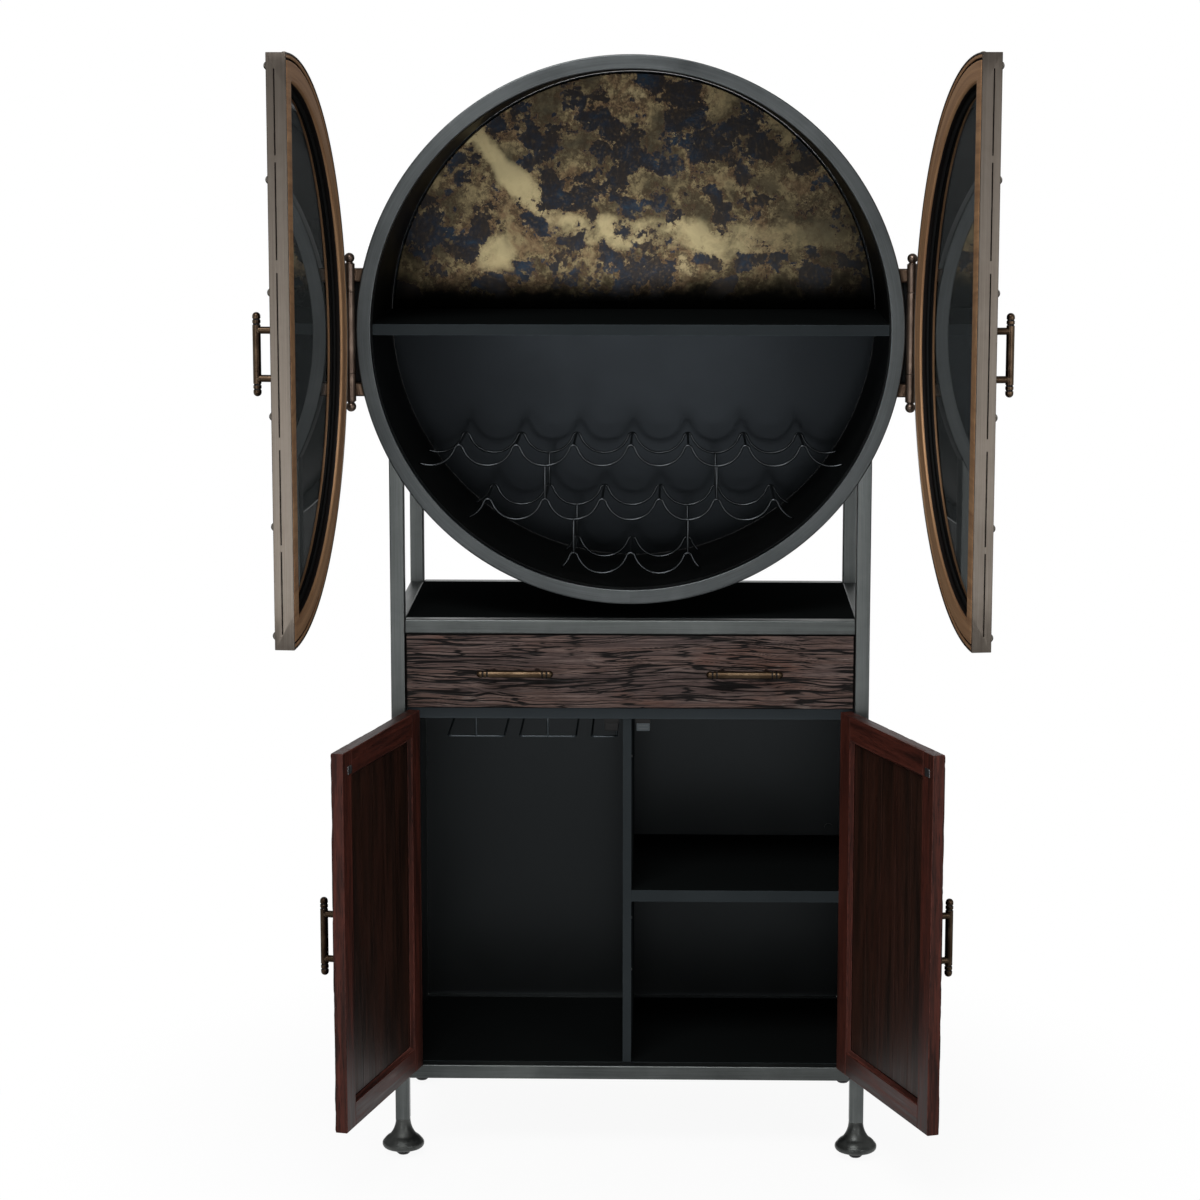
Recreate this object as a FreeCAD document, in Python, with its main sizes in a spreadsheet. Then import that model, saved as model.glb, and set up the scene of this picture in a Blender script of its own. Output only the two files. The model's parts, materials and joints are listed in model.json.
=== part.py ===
import FreeCAD, Part
import math
import os

import Sketcher

# Round bar cabinet: a steel drum with two half-round glass doors, carried on a four-post frame
# that holds an open shelf, one wide drawer and a two-door cupboard.
# Frame: millimetres, X to the right, the front faces -Y, +Z up. The origin is on the floor,
# under the middle of the four posts. The doors stand open, as the cabinet is shown.

os.makedirs("parts", exist_ok=True)
doc = FreeCAD.newDocument("RoundBarCabinet")
sheet = doc.addObject("Spreadsheet::Sheet", "Sizes")

sizes = [
    # Square-tube frame and the drum's two rings
    ("frame_width", 832, "over the posts"),
    ("frame_depth", 457, "front face to rear face of the posts"),
    ("tube_size", 25, "outside of the square tube"),
    ("tube_wall", 1.5, "wall of the square tube"),
    ("ring_radius", 470, "outside of the drum's front and rear ring"),
    ("drum_clear", 28, "open shelf to the drum's lowest point"),
    ("cope_gap", 0.2, "weld gap where a post is coped to a ring"),
    ("shelf_level", 970, "top of the open shelf"),
    ("shelf_board", 18, "thickness of the open shelf"),
    ("base_level", 168, "top of the cupboard floor"),
    ("floor_board", 18, "thickness of the cupboard floor"),
    ("panel_sheet", 3, "side and back sheet"),
    ("back_inset", 3, "back sheet in from the posts' rear faces"),
    # Drum
    ("drum_wall", 2, "rolled sheet of the drum"),
    ("drum_lap", 1, "how far the drum's sheet stands inside the rings"),
    ("drum_back_inset", 12, "drum's back panel in front of the rear ring"),
    ("drum_panel", 3, "thickness of the drum's back panel"),
    ("panel_gap", 0.3, "play between the drum's wall and what sits in it"),
    ("mirror_glass", 4, "thickness of the mirror"),
    ("mirror_margin", 3, "mirror's edge in from the drum's wall"),
    ("drum_shelf_board", 18.5, "thickness of the drum's shelf"),
    ("drum_shelf_rise", 12, "top of the drum's shelf above the drum's centre"),
    ("drum_shelf_setback", 2, "shelf's front edge behind the ring"),
    # Wine rack
    ("rack_wire", 2.2, "radius of the rack's wire"),
    ("cradle_pitch", 100.5, "bottle to bottle"),
    ("cradle_rise", 36, "peak above trough, on the wire's centre line"),
    ("peak_bend", 7, "bend radius of a peak"),
    ("tier_drop", 95, "tier to tier"),
    ("rack_drop", 240.5, "drum's centre down to the top tier's troughs"),
    ("rack_front", 100, "front row of wires behind the ring's face"),
    ("rack_rear_gap", 115, "rear row of wires in front of the drum's back panel"),
    # Cupboard and drawer bay
    ("bay_height", 135, "clear height of the drawer's bay"),
    ("bay_board", 19, "thickness of the board under the drawer"),
    ("bay_setback", 24, "front edges inside the cupboard behind the posts' faces"),
    ("divider_board", 15, "thickness of the divider"),
    ("divider_shift", 4.5, "divider's middle left of the cabinet's middle"),
    ("mid_shelf_level", 483, "top of the middle shelf"),
    ("mid_shelf_board", 21, "thickness of the middle shelf"),
    ("catch_width", 26.5, "magnetic catch"),
    ("catch_height", 22, "magnetic catch"),
    ("catch_length", 16, "magnetic catch, front to back"),
    ("catch_play", 0.6, "closed door's strike to the catch"),
    ("catch_side_gap", 7, "divider's face to the catch"),
    ("cap_radius", 8, "hole cap on the back sheet"),
    ("cap_rise", 2.5, "hole cap on the back sheet"),
    ("cap_offset", 20, "hole cap's centre from the side sheet"),
    ("cap_lift", 15, "hole cap's centre above the middle shelf"),
    # Stemware rack
    ("stem_wire", 2, "radius of the stemware rack's wire"),
    ("stem_drop", 39, "wire's centre line below the board"),
    ("loop_width", 99, "a whole loop"),
    ("half_loop_width", 44, "the narrow loop beside the divider"),
    ("stem_slot", 27.5, "gap that takes a glass's stem"),
    ("loop_offset", 12, "narrow loop from the divider"),
    ("loop_front", 60, "loops' front wire behind the posts' faces"),
    ("loop_rear_gap", 51, "loops' rear wire in front of the back sheet"),
    ("loop_bend", 8, "corner radius of a loop"),
    # Feet
    ("foot_height", 66, "top of the bell foot"),
    ("foot_neck", 13, "radius of the foot's neck"),
    ("foot_flare", 36, "radius of the foot's lip"),
    ("lip_top", 27, "upper edge of the foot's lip"),
    ("lip_bottom", 14, "lower edge of the foot's lip"),
    ("lip_bend", 7.5, "roundness of the foot's lip"),
    ("neck_bend", 55, "hollow curve of the bell"),
    ("sole_radius", 18, "flat underside of the foot"),
    ("sole_level", 9, "height of the foot's underside"),
    ("glide_radius", 12, "levelling glide"),
    ("glide_toe", 3, "bevel round the glide's bottom"),
    ("glide_gap", 0.5, "glide's top to the foot's underside"),
    ("stud_radius", 4, "levelling stud"),
    ("stud_length", 22, "levelling stud"),
    ("running_gap", 0.05, "radial play of a stud or pin in its bore"),
    # Half-round glass doors
    ("door_reveal", 1, "closed door's edge in from the ring's outside"),
    ("door_depth", 32, "thickness of the glass doors"),
    ("door_back_gap", 2, "ring's face to a closed door"),
    ("meeting_gap", 3, "between the two closed doors"),
    ("rim_wall", 3, "sheet of the rim"),
    ("rim_band", 45, "width of the rim's front band"),
    ("moulding_band", 43, "inner edge of the moulding from the door's outline"),
    ("moulding_recess", 0.5, "moulding's face in from the rim's edge"),
    ("groove_width", 6, "groove between rim and moulding"),
    ("groove_depth", 5.5, "groove between rim and moulding"),
    ("gasket_band", 12, "width of the gasket"),
    ("gasket_depth", 10, "thickness of the gasket"),
    ("glass_bite", 6, "glass held in the gasket"),
    ("pane_depth", 4, "thickness of the pane"),
    ("pane_setback", 14, "pane's back face from the door's back face"),
    ("rivet_radius", 7.5, "dome rivet"),
    ("rivet_rise", 6.5, "dome rivet"),
    ("rivet_start", 97.5, "first rivet from the middle of the meeting edge"),
    ("rivet_end", 20.5, "last rivet of the meeting edge from the door's end"),
    ("arc_rivet_step", 22.5, "angle between the rivets of the curved band"),
    ("corner_rivet_turn", 8, "angle from the door's corner to the rivet on the rim's outside"),
    ("rivet_inset", 16, "rivets' centre line from the door's outline"),
    ("seam_width", 2, "seam slots in the meeting edge"),
    ("seam_depth", 1.5, "seam slots in the meeting edge"),
    ("seam_setback", 19, "seam's middle from the door's back face"),
    ("seam_middle", 258, "middle slot's length"),
    ("seam_land", 20, "metal left beside the middle slot"),
    ("seam_next", 151, "next slots' length"),
    ("seam_end_land", 11, "metal left before the end slots"),
    ("seam_stop", 25, "metal left beyond the end slots"),
    ("upper_left_angle", 95.4, "left glass door's opening"),
    ("upper_right_angle", 97.9, "right glass door's opening"),
    # Barrel hinges of the glass doors
    ("barrel_radius", 9, "hinge barrel"),
    ("barrel_gap", 0.5, "ring's outside to the barrel"),
    ("barrel_split", 0.4, "gap between knuckles"),
    ("door_knuckle", 139, "length of the door's knuckle"),
    ("frame_knuckle", 48.5, "length of each knuckle on the ring"),
    ("pin_radius", 4, "hinge pin"),
    ("finial_radius", 8, "ball on the pin's end"),
    ("finial_neck", 6, "radius of the neck under the ball"),
    ("finial_rise", 10, "ball's centre beyond the barrel"),
    ("tab_height", 23, "tab from the barrel to the ring"),
    ("tab_level", 98, "tab's middle from the drum's centre"),
    ("tab_depth", 13, "tab, front to back"),
    ("web_depth", 3, "plate between the tabs, flush with their backs"),
    ("leaf_height", 118, "door leaf of the hinge"),
    ("leaf_depth", 28, "door leaf, front to back"),
    ("leaf_wrap", 4.5, "door leaf's outer face inside the pin's axis"),
    # Handles
    ("grip_radius", 6.5, "bar of a handle"),
    ("grip_length", 133, "bar over its ball ends"),
    ("grip_posts", 76, "post to post"),
    ("grip_reach", 26, "bar's centre line from the face"),
    ("post_radius", 5.75, "post of a handle"),
    ("bead_width", 5, "bead between the two grooves at a bar's end"),
    ("bead_groove", 2.5, "width of a groove"),
    ("bead_cut", 1.3, "depth of a groove"),
    ("tip_length", 10, "domed end of the bar"),
    ("grip_inset", 22.5, "handle's centre line from the door's free edge"),
    # Framed wood doors
    ("wood_door_depth", 22, "thickness of the wood doors"),
    ("wood_side_gap", 2.5, "post to a closed wood door"),
    ("wood_bottom_gap", 2, "cupboard floor to the wood doors"),
    ("wood_top_rise", 2, "top of the wood doors above the board under the drawer"),
    ("stile_width", 41, "stiles and rails"),
    ("plank_depth", 12, "thickness of the panel"),
    ("plank_setback", 2, "panel's front face behind the door's"),
    ("strike_width", 18, "strike plate"),
    ("strike_height", 14, "strike plate"),
    ("strike_depth", 1.2, "strike plate"),
    ("butt_radius", 3.5, "knuckle of a butt hinge"),
    ("butt_pin", 1.5, "pin of a butt hinge"),
    ("butt_length", 80, "butt hinge"),
    ("butt_inset", 130, "hinge's middle from the door's end"),
    ("butt_leaf", 1, "thickness of a hinge leaf"),
    ("butt_reach", 20, "width of a hinge leaf"),
    ("wood_grip_level", 496, "middle of the wood doors' handles"),
    ("wood_grip_inset", 32, "wood doors' handles from the free edge"),
    ("lower_left_angle", 104.4, "left wood door's opening"),
    ("lower_right_angle", 109.9, "right wood door's opening"),
    # Drawer
    ("drawer_gap", 1.5, "round the drawer's front"),
    ("drawer_lift", 4.5, "board under the drawer to the drawer's front"),
    ("drawer_front_depth", 22, "thickness of the drawer's front"),
    ("runner_space", 13, "side sheet to the drawer's box"),
    ("runner_height", 34, "ball runners"),
    ("runner_start", 34, "runners' front end behind the posts' faces"),
    ("runner_rear_gap", 8, "runners' rear end to the rear posts"),
    ("runner_gap", 0.3, "between the two members of a runner"),
    ("box_board", 12, "sides and back of the drawer's box"),
    ("box_top_gap", 23, "drawer's box to the rail above it"),
    ("box_lift", 12, "board under the drawer to the drawer's box"),
    ("box_rear_gap", 15, "drawer's box to the back sheet"),
    ("box_bottom", 6, "drawer's bottom"),
    ("drawer_grips", 398, "between the drawer's two handles"),
]
numbers = {}
for row, (alias, number, note) in enumerate(sizes, 1):
    sheet.set(f"A{row}", alias)
    sheet.set(f"B{row}", str(number))
    sheet.setAlias(f"B{row}", alias)
    sheet.set(f"C{row}", note)
doc.recompute()
for alias, number, note in sizes:
    numbers[alias] = float(sheet.get(alias))


class Size:
    """A number together with the spreadsheet formula that gives it."""

    def __init__(self, number, text):
        self.number = number
        self.text = text

    def __add__(self, other):
        other = asSize(other)
        return Size(self.number + other.number, f"({self.text} + {other.text})")

    def __sub__(self, other):
        other = asSize(other)
        return Size(self.number - other.number, f"({self.text} - {other.text})")

    def __rsub__(self, other):
        return asSize(other) - self

    def __mul__(self, other):
        other = asSize(other)
        return Size(self.number * other.number, f"({self.text} * {other.text})")

    def __truediv__(self, other):
        other = asSize(other)
        return Size(self.number / other.number, f"({self.text} / {other.text})")

    def __neg__(self):
        return Size(-self.number, f"(-1 * {self.text})")


def asSize(value):
    return value if isinstance(value, Size) else Size(float(value), f"({float(value)})")


def size(alias):
    return Size(numbers[alias], f"Sizes.{alias}")


def sine(angle):
    return Size(math.sin(math.radians(angle.number)), f"sin({angle.text} * 1 deg)")


def cosine(angle):
    return Size(math.cos(math.radians(angle.number)), f"cos({angle.text} * 1 deg)")


def root(square):
    return Size(math.sqrt(square.number), f"sqrt({square.text})")


# Object builders: every length and place is bound to the spreadsheet. Depths are counted from
# the posts' front faces; keep() moves a finished sub-part back so that y = 0 is the middle.
subparts = []
spots = {}


def bind(thing, prop, value):
    thing.setExpression(prop, asSize(value).text)


def place(thing, x, y, z):
    spots[thing.Name] = (x, y, z)
    for axis, value in zip("xyz", (x, y, z)):
        bind(thing, f"Placement.Base.{axis}", value)
    return thing


def turn(thing, angle, axis=(0, 0, 1)):
    thing.Placement = FreeCAD.Placement(FreeCAD.Vector(), FreeCAD.Rotation(FreeCAD.Vector(*axis), 1))
    thing.setExpression("Placement.Rotation.Angle", f"{asSize(angle).text} * 1 deg")
    return thing


def keep(label, thing):
    x, y, z = spots.get(thing.Name, (0, 0, 0))
    place(thing, x, y - size("frame_depth") / 2, z)
    thing.Label = label
    subparts.append(thing)


def block(name, x, y, z):
    solid = doc.addObject("Part::Box", name)
    for prop, (low, high) in zip(("Length", "Width", "Height"), (x, y, z)):
        bind(solid, prop, asSize(high) - low)
    return place(solid, x[0], y[0], z[0])


def rod(name, radius, length, start, along="Z"):
    solid = doc.addObject("Part::Cylinder", name)
    bind(solid, "Radius", radius)
    bind(solid, "Height", length)
    if along == "Y":
        solid.Placement.Rotation = FreeCAD.Rotation(FreeCAD.Vector(1, 0, 0), -90)
    return place(solid, *start)


def cut(name, base, tool):
    solid = doc.addObject("Part::Cut", name)
    solid.Base = base
    solid.Tool = tool
    return solid


def fuse(name, shapes):
    solid = doc.addObject("Part::MultiFuse", name)
    solid.Shapes = shapes
    return solid


def common(name, shapes):
    solid = doc.addObject("Part::MultiCommon", name)
    solid.Shapes = shapes
    return solid


def group(name, shapes):
    solids = doc.addObject("Part::Compound", name)
    solids.Links = shapes
    return solids


def newBody(name):
    return doc.addObject("PartDesign::Body", name)


def originPlane(body, role):
    return next(item for item in body.Origin.OriginFeatures if item.Role == role)


def newSketch(body, role, name, offset=None):
    sketch = body.newObject("Sketcher::SketchObject", name)
    sketch.AttachmentSupport = (originPlane(body, role), [""])
    sketch.MapMode = "FlatFace"
    if offset is not None:
        bind(sketch, "AttachmentOffset.Base.z", offset)
    return sketch


def pinPoint(sketch, curve, end, u, v, name):
    for kind, value, axis, tag in (("DistanceX", u, -2, "u"), ("DistanceY", v, -1, "v")):
        if not isinstance(value, Size) and value == 0:
            sketch.addConstraint(Sketcher.Constraint("PointOnObject", curve, end, axis))
            continue
        value = asSize(value)
        index = sketch.addConstraint(Sketcher.Constraint(kind, -1, 1, curve, end, value.number))
        sketch.renameConstraint(index, name + tag)
        bind(sketch, f"Constraints.{name}{tag}", value)


def bindRadius(sketch, curve, radius, name):
    index = sketch.addConstraint(Sketcher.Constraint("Radius", curve, radius.number))
    sketch.renameConstraint(index, name)
    bind(sketch, f"Constraints.{name}", radius)


def outline(sketch, corners, key):
    """A closed outline. A corner is (u, v), or (u, v, radius, side) where an arc follows it:
    side is +1 where the arc's centre is on the left of the way to the next corner, or -1."""
    first = sketch.GeometryCount
    points = [FreeCAD.Vector(asSize(c[0]).number, asSize(c[1]).number, 0) for c in corners]
    ends = []
    for i, corner in enumerate(corners):
        a = points[i]
        b = points[(i + 1) % len(points)]
        if len(corner) == 2:
            sketch.addGeometry(Part.LineSegment(a, b))
            ends.append((1, 2))
            continue
        radius, side = corner[2:]
        chord = b - a
        rise = math.sqrt(radius.number ** 2 - (chord.Length / 2) ** 2)
        centre = (a + b) / 2 + FreeCAD.Vector(-chord.y, chord.x, 0) / chord.Length * rise * side
        start, stop = (a, b) if side > 0 else (b, a)
        circle = Part.Circle(centre, FreeCAD.Vector(0, 0, 1), radius.number)
        from_angle = math.atan2(start.y - centre.y, start.x - centre.x)
        to_angle = math.atan2(stop.y - centre.y, stop.x - centre.x)
        sketch.addGeometry(Part.ArcOfCircle(circle, from_angle, to_angle))
        ends.append((1, 2) if side > 0 else (2, 1))
    for i in range(len(corners)):
        j = (i + 1) % len(corners)
        sketch.addConstraint(Sketcher.Constraint("Coincident", first + i, ends[i][1], first + j, ends[j][0]))
    for i, corner in enumerate(corners):
        pinPoint(sketch, first + i, ends[i][0], corner[0], corner[1], f"{key}{i}")
        if len(corner) > 2:
            bindRadius(sketch, first + i, corner[2], f"{key}{i}r")


def rectangle(sketch, u, v, key):
    outline(sketch, [(u[0], v[0]), (u[1], v[0]), (u[1], v[1]), (u[0], v[1])], key)


def circleAt(sketch, u, v, radius, key):
    centre = FreeCAD.Vector(asSize(u).number, asSize(v).number, 0)
    curve = sketch.addGeometry(Part.Circle(centre, FreeCAD.Vector(0, 0, 1), radius.number))
    pinPoint(sketch, curve, 3, u, v, key)
    bindRadius(sketch, curve, radius, f"{key}r")


def halfRound(sketch, side, radius, chord, key):
    """A half disc on the given side (-1 left, +1 right): a chord beside the centre and an arc."""
    edge = chord * side
    start = math.acos(min(1.0, chord.number / radius.number))
    turns = (-start, start) if side > 0 else (math.pi - start, math.pi + start)
    circle = Part.Circle(FreeCAD.Vector(), FreeCAD.Vector(0, 0, 1), radius.number)
    arc = sketch.addGeometry(Part.ArcOfCircle(circle, *turns))
    tips = [FreeCAD.Vector(math.cos(t), math.sin(t), 0) * radius.number for t in turns]
    line = sketch.addGeometry(Part.LineSegment(tips[1], tips[0]))
    sketch.addConstraint(Sketcher.Constraint("Coincident", arc, 3, -1, 1))
    sketch.addConstraint(Sketcher.Constraint("Coincident", arc, 2, line, 1))
    sketch.addConstraint(Sketcher.Constraint("Coincident", arc, 1, line, 2))
    sketch.addConstraint(Sketcher.Constraint("Vertical", line))
    index = sketch.addConstraint(Sketcher.Constraint("DistanceX", -1, 1, line, 1, edge.number))
    sketch.renameConstraint(index, f"{key}u")
    bind(sketch, f"Constraints.{key}u", edge)
    bindRadius(sketch, arc, radius, f"{key}r")


def pad(body, sketch, length, name, backwards=False):
    feature = body.newObject("PartDesign::Pad", name)
    feature.Profile = sketch
    feature.Reversed = backwards
    bind(feature, "Length", length)
    return feature


def pocket(body, sketch, length, name, backwards=False):
    feature = body.newObject("PartDesign::Pocket", name)
    feature.Profile = sketch
    feature.Reversed = backwards
    bind(feature, "Length", length)
    return feature


def revolve(body, sketch, axis, name):
    feature = body.newObject("PartDesign::Revolution", name)
    feature.Profile = sketch
    feature.ReferenceAxis = (sketch, [axis])
    feature.Angle = 360
    return feature


def pipe(edges, radius):
    """A round wire that follows joined edges: its volume is checked against section times length."""
    path = Part.Wire(edges)
    first = path.Edges[0]
    start = first.valueAt(first.FirstParameter)
    heading = first.tangentAt(first.FirstParameter)
    section = Part.Wire([Part.Circle(start, heading, radius).toShape()])
    tube = path.makePipeShell([section], True, False)
    expected = math.pi * radius ** 2 * path.Length
    if abs(tube.Volume - expected) > 0.02 * expected:
        raise ValueError("a wire's volume is off")
    return tube


def feature(name, shape):
    thing = doc.addObject("Part::Feature", name)
    thing.Shape = shape
    return thing


# Shared places
tube = size("tube_size")
wall = size("tube_wall")
half_width = size("frame_width") / 2
depth = size("frame_depth")
inner_x = half_width - tube
rear_y = depth - tube
ring_level = size("shelf_level") + size("drum_clear") + size("ring_radius")
ring_inner = size("ring_radius") - tube
drum_inner = ring_inner - size("drum_lap")
drum_outer = drum_inner + size("drum_wall")
shelf_level = size("shelf_level")
shelf_under = shelf_level - tube
base_level = size("base_level")
base_under = base_level - tube
foot_top = size("foot_height")
bay_level = shelf_under - size("bay_height")
bay_under = bay_level - size("bay_board")
back_y = depth - size("back_inset")
bay_y = size("bay_setback")
sides = (("left", -1), ("right", 1))


def across(side, near, far):
    """A span from near to far, measured outwards from x = 0 on the given side."""
    return (asSize(near), asSize(far)) if side > 0 else (-asSize(far), -asSize(near))


# Posts: hollow square tubes, coped at the top to the ring's outside
def post(name, side, front):
    body = newBody(name)
    section = newSketch(body, "XY_Plane", f"{name}_section")
    half = tube / 2
    rectangle(section, (-half, half), (-half, half), "out")
    rectangle(section, (wall - half, half - wall), (wall - half, half - wall), "in")
    pad(body, section, ring_level - foot_top, f"{name}_tube")
    cope = newSketch(body, "XZ_Plane", f"{name}_cope")
    centre_x = half_width - half
    circleAt(cope, -centre_x * side, ring_level - foot_top, size("ring_radius") + size("cope_gap"), "rim")
    saddle = pocket(body, cope, tube * 2, f"{name}_saddle")
    saddle.Midplane = True
    place(body, centre_x * side, half if front else depth - half, foot_top)
    keep(name, body)


for side_name, side in sides:
    post(f"front_{side_name}_post", side, True)
    post(f"rear_{side_name}_post", side, False)


# Rings: the same tube rolled to a circle
def ring(name, front_y):
    body = newBody(name)
    section = newSketch(body, "XY_Plane", f"{name}_section")
    radius = size("ring_radius")
    rectangle(section, (radius - tube, radius), (0, tube), "out")
    rectangle(section, (radius - tube + wall, radius - wall), (wall, tube - wall), "in")
    revolve(body, section, "V_Axis", f"{name}_roll")
    place(body, 0, front_y, ring_level)
    keep(name, body)


ring("front_ring", 0)
ring("rear_ring", rear_y)


# Rails: square tubes between the posts, open at their ends
def rail(name, x, y, z, along):
    outside = block(f"{name}_outside", x, y, z)
    hollow = [(asSize(low) + wall, asSize(high) - wall) for low, high in (x, y, z)]
    hollow[along] = (x, y, z)[along]
    return cut(name, outside, block(f"{name}_hollow", *hollow))


def rails(name, low, high):
    members = [
        rail(f"{name}_front", (-inner_x, inner_x), (0, tube), (low, high), 0),
        rail(f"{name}_rear", (-inner_x, inner_x), (rear_y, depth), (low, high), 0),
    ]
    for side_name, side in sides:
        span = across(side, inner_x, half_width)
        members.append(rail(f"{name}_{side_name}", span, (tube, rear_y), (low, high), 1))
    keep(name, group(f"{name}_set", members))


rails("shelf_rails", shelf_under, shelf_level)
rails("base_rails", base_under, base_level)

# Boards and sheets
keep("open_shelf", block("open_shelf_board", (-inner_x, inner_x), (tube, rear_y),
                         (shelf_level - size("shelf_board"), shelf_level)))
keep("cabinet_floor", block("cabinet_floor_board", (-inner_x, inner_x), (tube, rear_y),
                            (base_level - size("floor_board"), base_level)))
side_sheets = []
for side_name, side in sides:
    span = across(side, inner_x, inner_x + size("panel_sheet"))
    side_sheets.append(block(f"{side_name}_side_sheet", span, (tube, rear_y), (base_level, shelf_under)))
keep("side_panels", group("side_panel_pair", side_sheets))
back_front_y = back_y - size("panel_sheet")
mid_shelf_level = size("mid_shelf_level")
back_sheet = block("back_sheet", (-inner_x, inner_x), (back_front_y, back_y), (base_level, shelf_under))
hole_cap = rod("hole_cap", size("cap_radius"), size("cap_rise"),
               (inner_x - size("cap_offset"), back_front_y - size("cap_rise"),
                mid_shelf_level + size("cap_lift")), "Y")
keep("cabinet_back_panel", group("back_sheet_and_cap", [back_sheet, hole_cap]))
keep("drawer_bay_floor", block("bay_floor_board", (-inner_x, inner_x), (bay_y, back_front_y),
                               (bay_under, bay_level)))
divider_left = -size("divider_shift") - size("divider_board") / 2
divider_right = divider_left + size("divider_board")
keep("bay_divider", block("divider_panel", (divider_left, divider_right), (bay_y, back_front_y),
                          (base_level, bay_under)))
keep("middle_shelf", block("middle_shelf_board", (divider_right, inner_x), (bay_y, back_front_y),
                           (mid_shelf_level - size("mid_shelf_board"), mid_shelf_level)))

# Drum: rolled sheet between the rings, back panel, mirror and shelf
shell_length = rear_y - tube
drum_shell = cut("drum_shell_tube",
                 rod("drum_outside", drum_outer, shell_length, (0, tube, ring_level), "Y"),
                 rod("drum_inside", drum_inner, shell_length, (0, tube, ring_level), "Y"))
keep("drum_shell", drum_shell)
panel_y = rear_y - size("drum_back_inset")
fitted = drum_inner - size("panel_gap")
keep("drum_back_panel", rod("drum_back_disc", fitted, size("drum_panel"), (0, panel_y, ring_level), "Y"))
drum_shelf_top = ring_level + size("drum_shelf_rise")
drum_shelf_y = tube + size("drum_shelf_setback")
shelf_blank = block("drum_shelf_blank", (-ring_inner, ring_inner), (drum_shelf_y, panel_y),
                    (drum_shelf_top - size("drum_shelf_board"), drum_shelf_top))
shelf_round = rod("drum_shelf_round", fitted, panel_y - drum_shelf_y, (0, drum_shelf_y, ring_level), "Y")
keep("drum_shelf", common("drum_shelf_fitted", [shelf_blank, shelf_round]))
mirror_y = panel_y - size("mirror_glass")
mirror_blank = rod("mirror_round", drum_inner - size("mirror_margin"), size("mirror_glass"),
                   (0, mirror_y, ring_level), "Y")
mirror_window = block("mirror_window", (-ring_inner, ring_inner), (mirror_y, panel_y),
                      (drum_shelf_top, ring_level + ring_inner))
keep("antique_mirror", common("mirror_half", [mirror_blank, mirror_window]))


# Wine rack: scalloped wires in two rows, with struts between the tiers and cross rods at the peaks
def wallAngle(centre_x, centre_z, radius, start, stop, reach):
    """The angle at which an arc, followed from start to stop, meets the drum's wall, or None."""
    span = math.hypot(centre_x, centre_z)
    lean = (reach ** 2 - span ** 2 - radius ** 2) / (2 * span * radius)
    if abs(lean) >= 1:
        return None
    way = 1 if stop > start else -1
    towards = math.atan2(centre_z, centre_x)
    travel = min((towards + side * math.acos(lean) - start) * way % math.tau for side in (-1, 1))
    return start + travel * way if travel < abs(stop - start) else None


def scallop(peak_in_middle, trough_z, y, reach):
    """Edges of one wire, hanging arcs joined by small peaks that end at the drum's wall, and its
    peaks, counted in half pitches from the middle."""
    half_pitch = numbers["cradle_pitch"] / 2
    rise = numbers["cradle_rise"]
    bend = numbers["peak_bend"]
    hang = (rise ** 2 + half_pitch ** 2) / (2 * rise) - bend
    slope = math.atan2(hang + bend - rise, half_pitch)
    edges = []
    tops = []
    step = 0
    meets = None
    while meets is None:
        peak = peak_in_middle == (step % 2 == 0)
        radius = bend if peak else hang
        centre_x = half_pitch * step
        centre_z = trough_z + (rise - bend if peak else hang)
        start, stop = (math.pi - slope, slope) if peak else (math.pi + slope, math.tau - slope)
        meets = wallAngle(centre_x, centre_z, radius, start, stop, reach)
        last = stop if meets is None else meets
        if peak and last < math.pi / 2:
            tops += [step] if step == 0 else [-step, step]
        turns = (start, (start + last) / 2, last)
        spots = [(centre_x + radius * math.cos(turn), centre_z + radius * math.sin(turn)) for turn in turns]
        for side in (1,) if step == 0 else (1, -1):
            edges.append(Part.Arc(*[FreeCAD.Vector(x * side, y, z) for x, z in spots]).toShape())
        step += 1
    return Part.__sortEdges__(edges), sorted(tops)


rack_wire = size("rack_wire")
rack_rows = (("front", size("rack_front")), ("rear", panel_y - size("rack_rear_gap")))
wire_reach = (drum_inner - rack_wire - size("panel_gap")).number
waves = []
tier_tops = []
trough = -numbers["rack_drop"]
while math.hypot(trough, numbers["cradle_pitch"] / 2) < wire_reach:
    tier = len(tier_tops)
    for row_name, row_y in rack_rows:
        edges, tops = scallop(tier % 2 == 0, trough, row_y.number, wire_reach)
        waves.append(feature(f"{row_name}_wave_{tier + 1}", pipe(edges, rack_wire.number)))
        place(waves[-1], 0, 0, ring_level)
    tier_tops.append(tops)
    trough -= numbers["tier_drop"]
keep("wine_rack_waves", group("rack_waves", waves))

rack_rods = []
struts = (3, 2)
for row_name, row_y in rack_rows:
    for tier, half_pitches in enumerate(struts[:len(tier_tops) - 1]):
        for side_name, side in sides:
            top = ring_level - size("rack_drop") - size("tier_drop") * tier - rack_wire
            strut_length = size("tier_drop") - size("cradle_rise") - rack_wire * 2
            start = (size("cradle_pitch") * (half_pitches / 2 * side), row_y, top - strut_length)
            rack_rods.append(rod(f"{row_name}_{side_name}_strut_{tier + 1}", rack_wire, strut_length, start))
for tier, tops in enumerate(tier_tops):
    rod_z = ring_level - size("rack_drop") + size("cradle_rise") - size("tier_drop") * tier
    for i, top in enumerate(tops):
        start = (size("cradle_pitch") * (top / 2), rack_rows[0][1] + rack_wire, rod_z)
        rod_length = rack_rows[1][1] - rack_rows[0][1] - rack_wire * 2
        rack_rods.append(rod(f"cross_rod_{tier + 1}_{i + 1}", rack_wire, rod_length, start, "Y"))
keep("wine_rack_rods", group("rack_rods", rack_rods))


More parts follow.
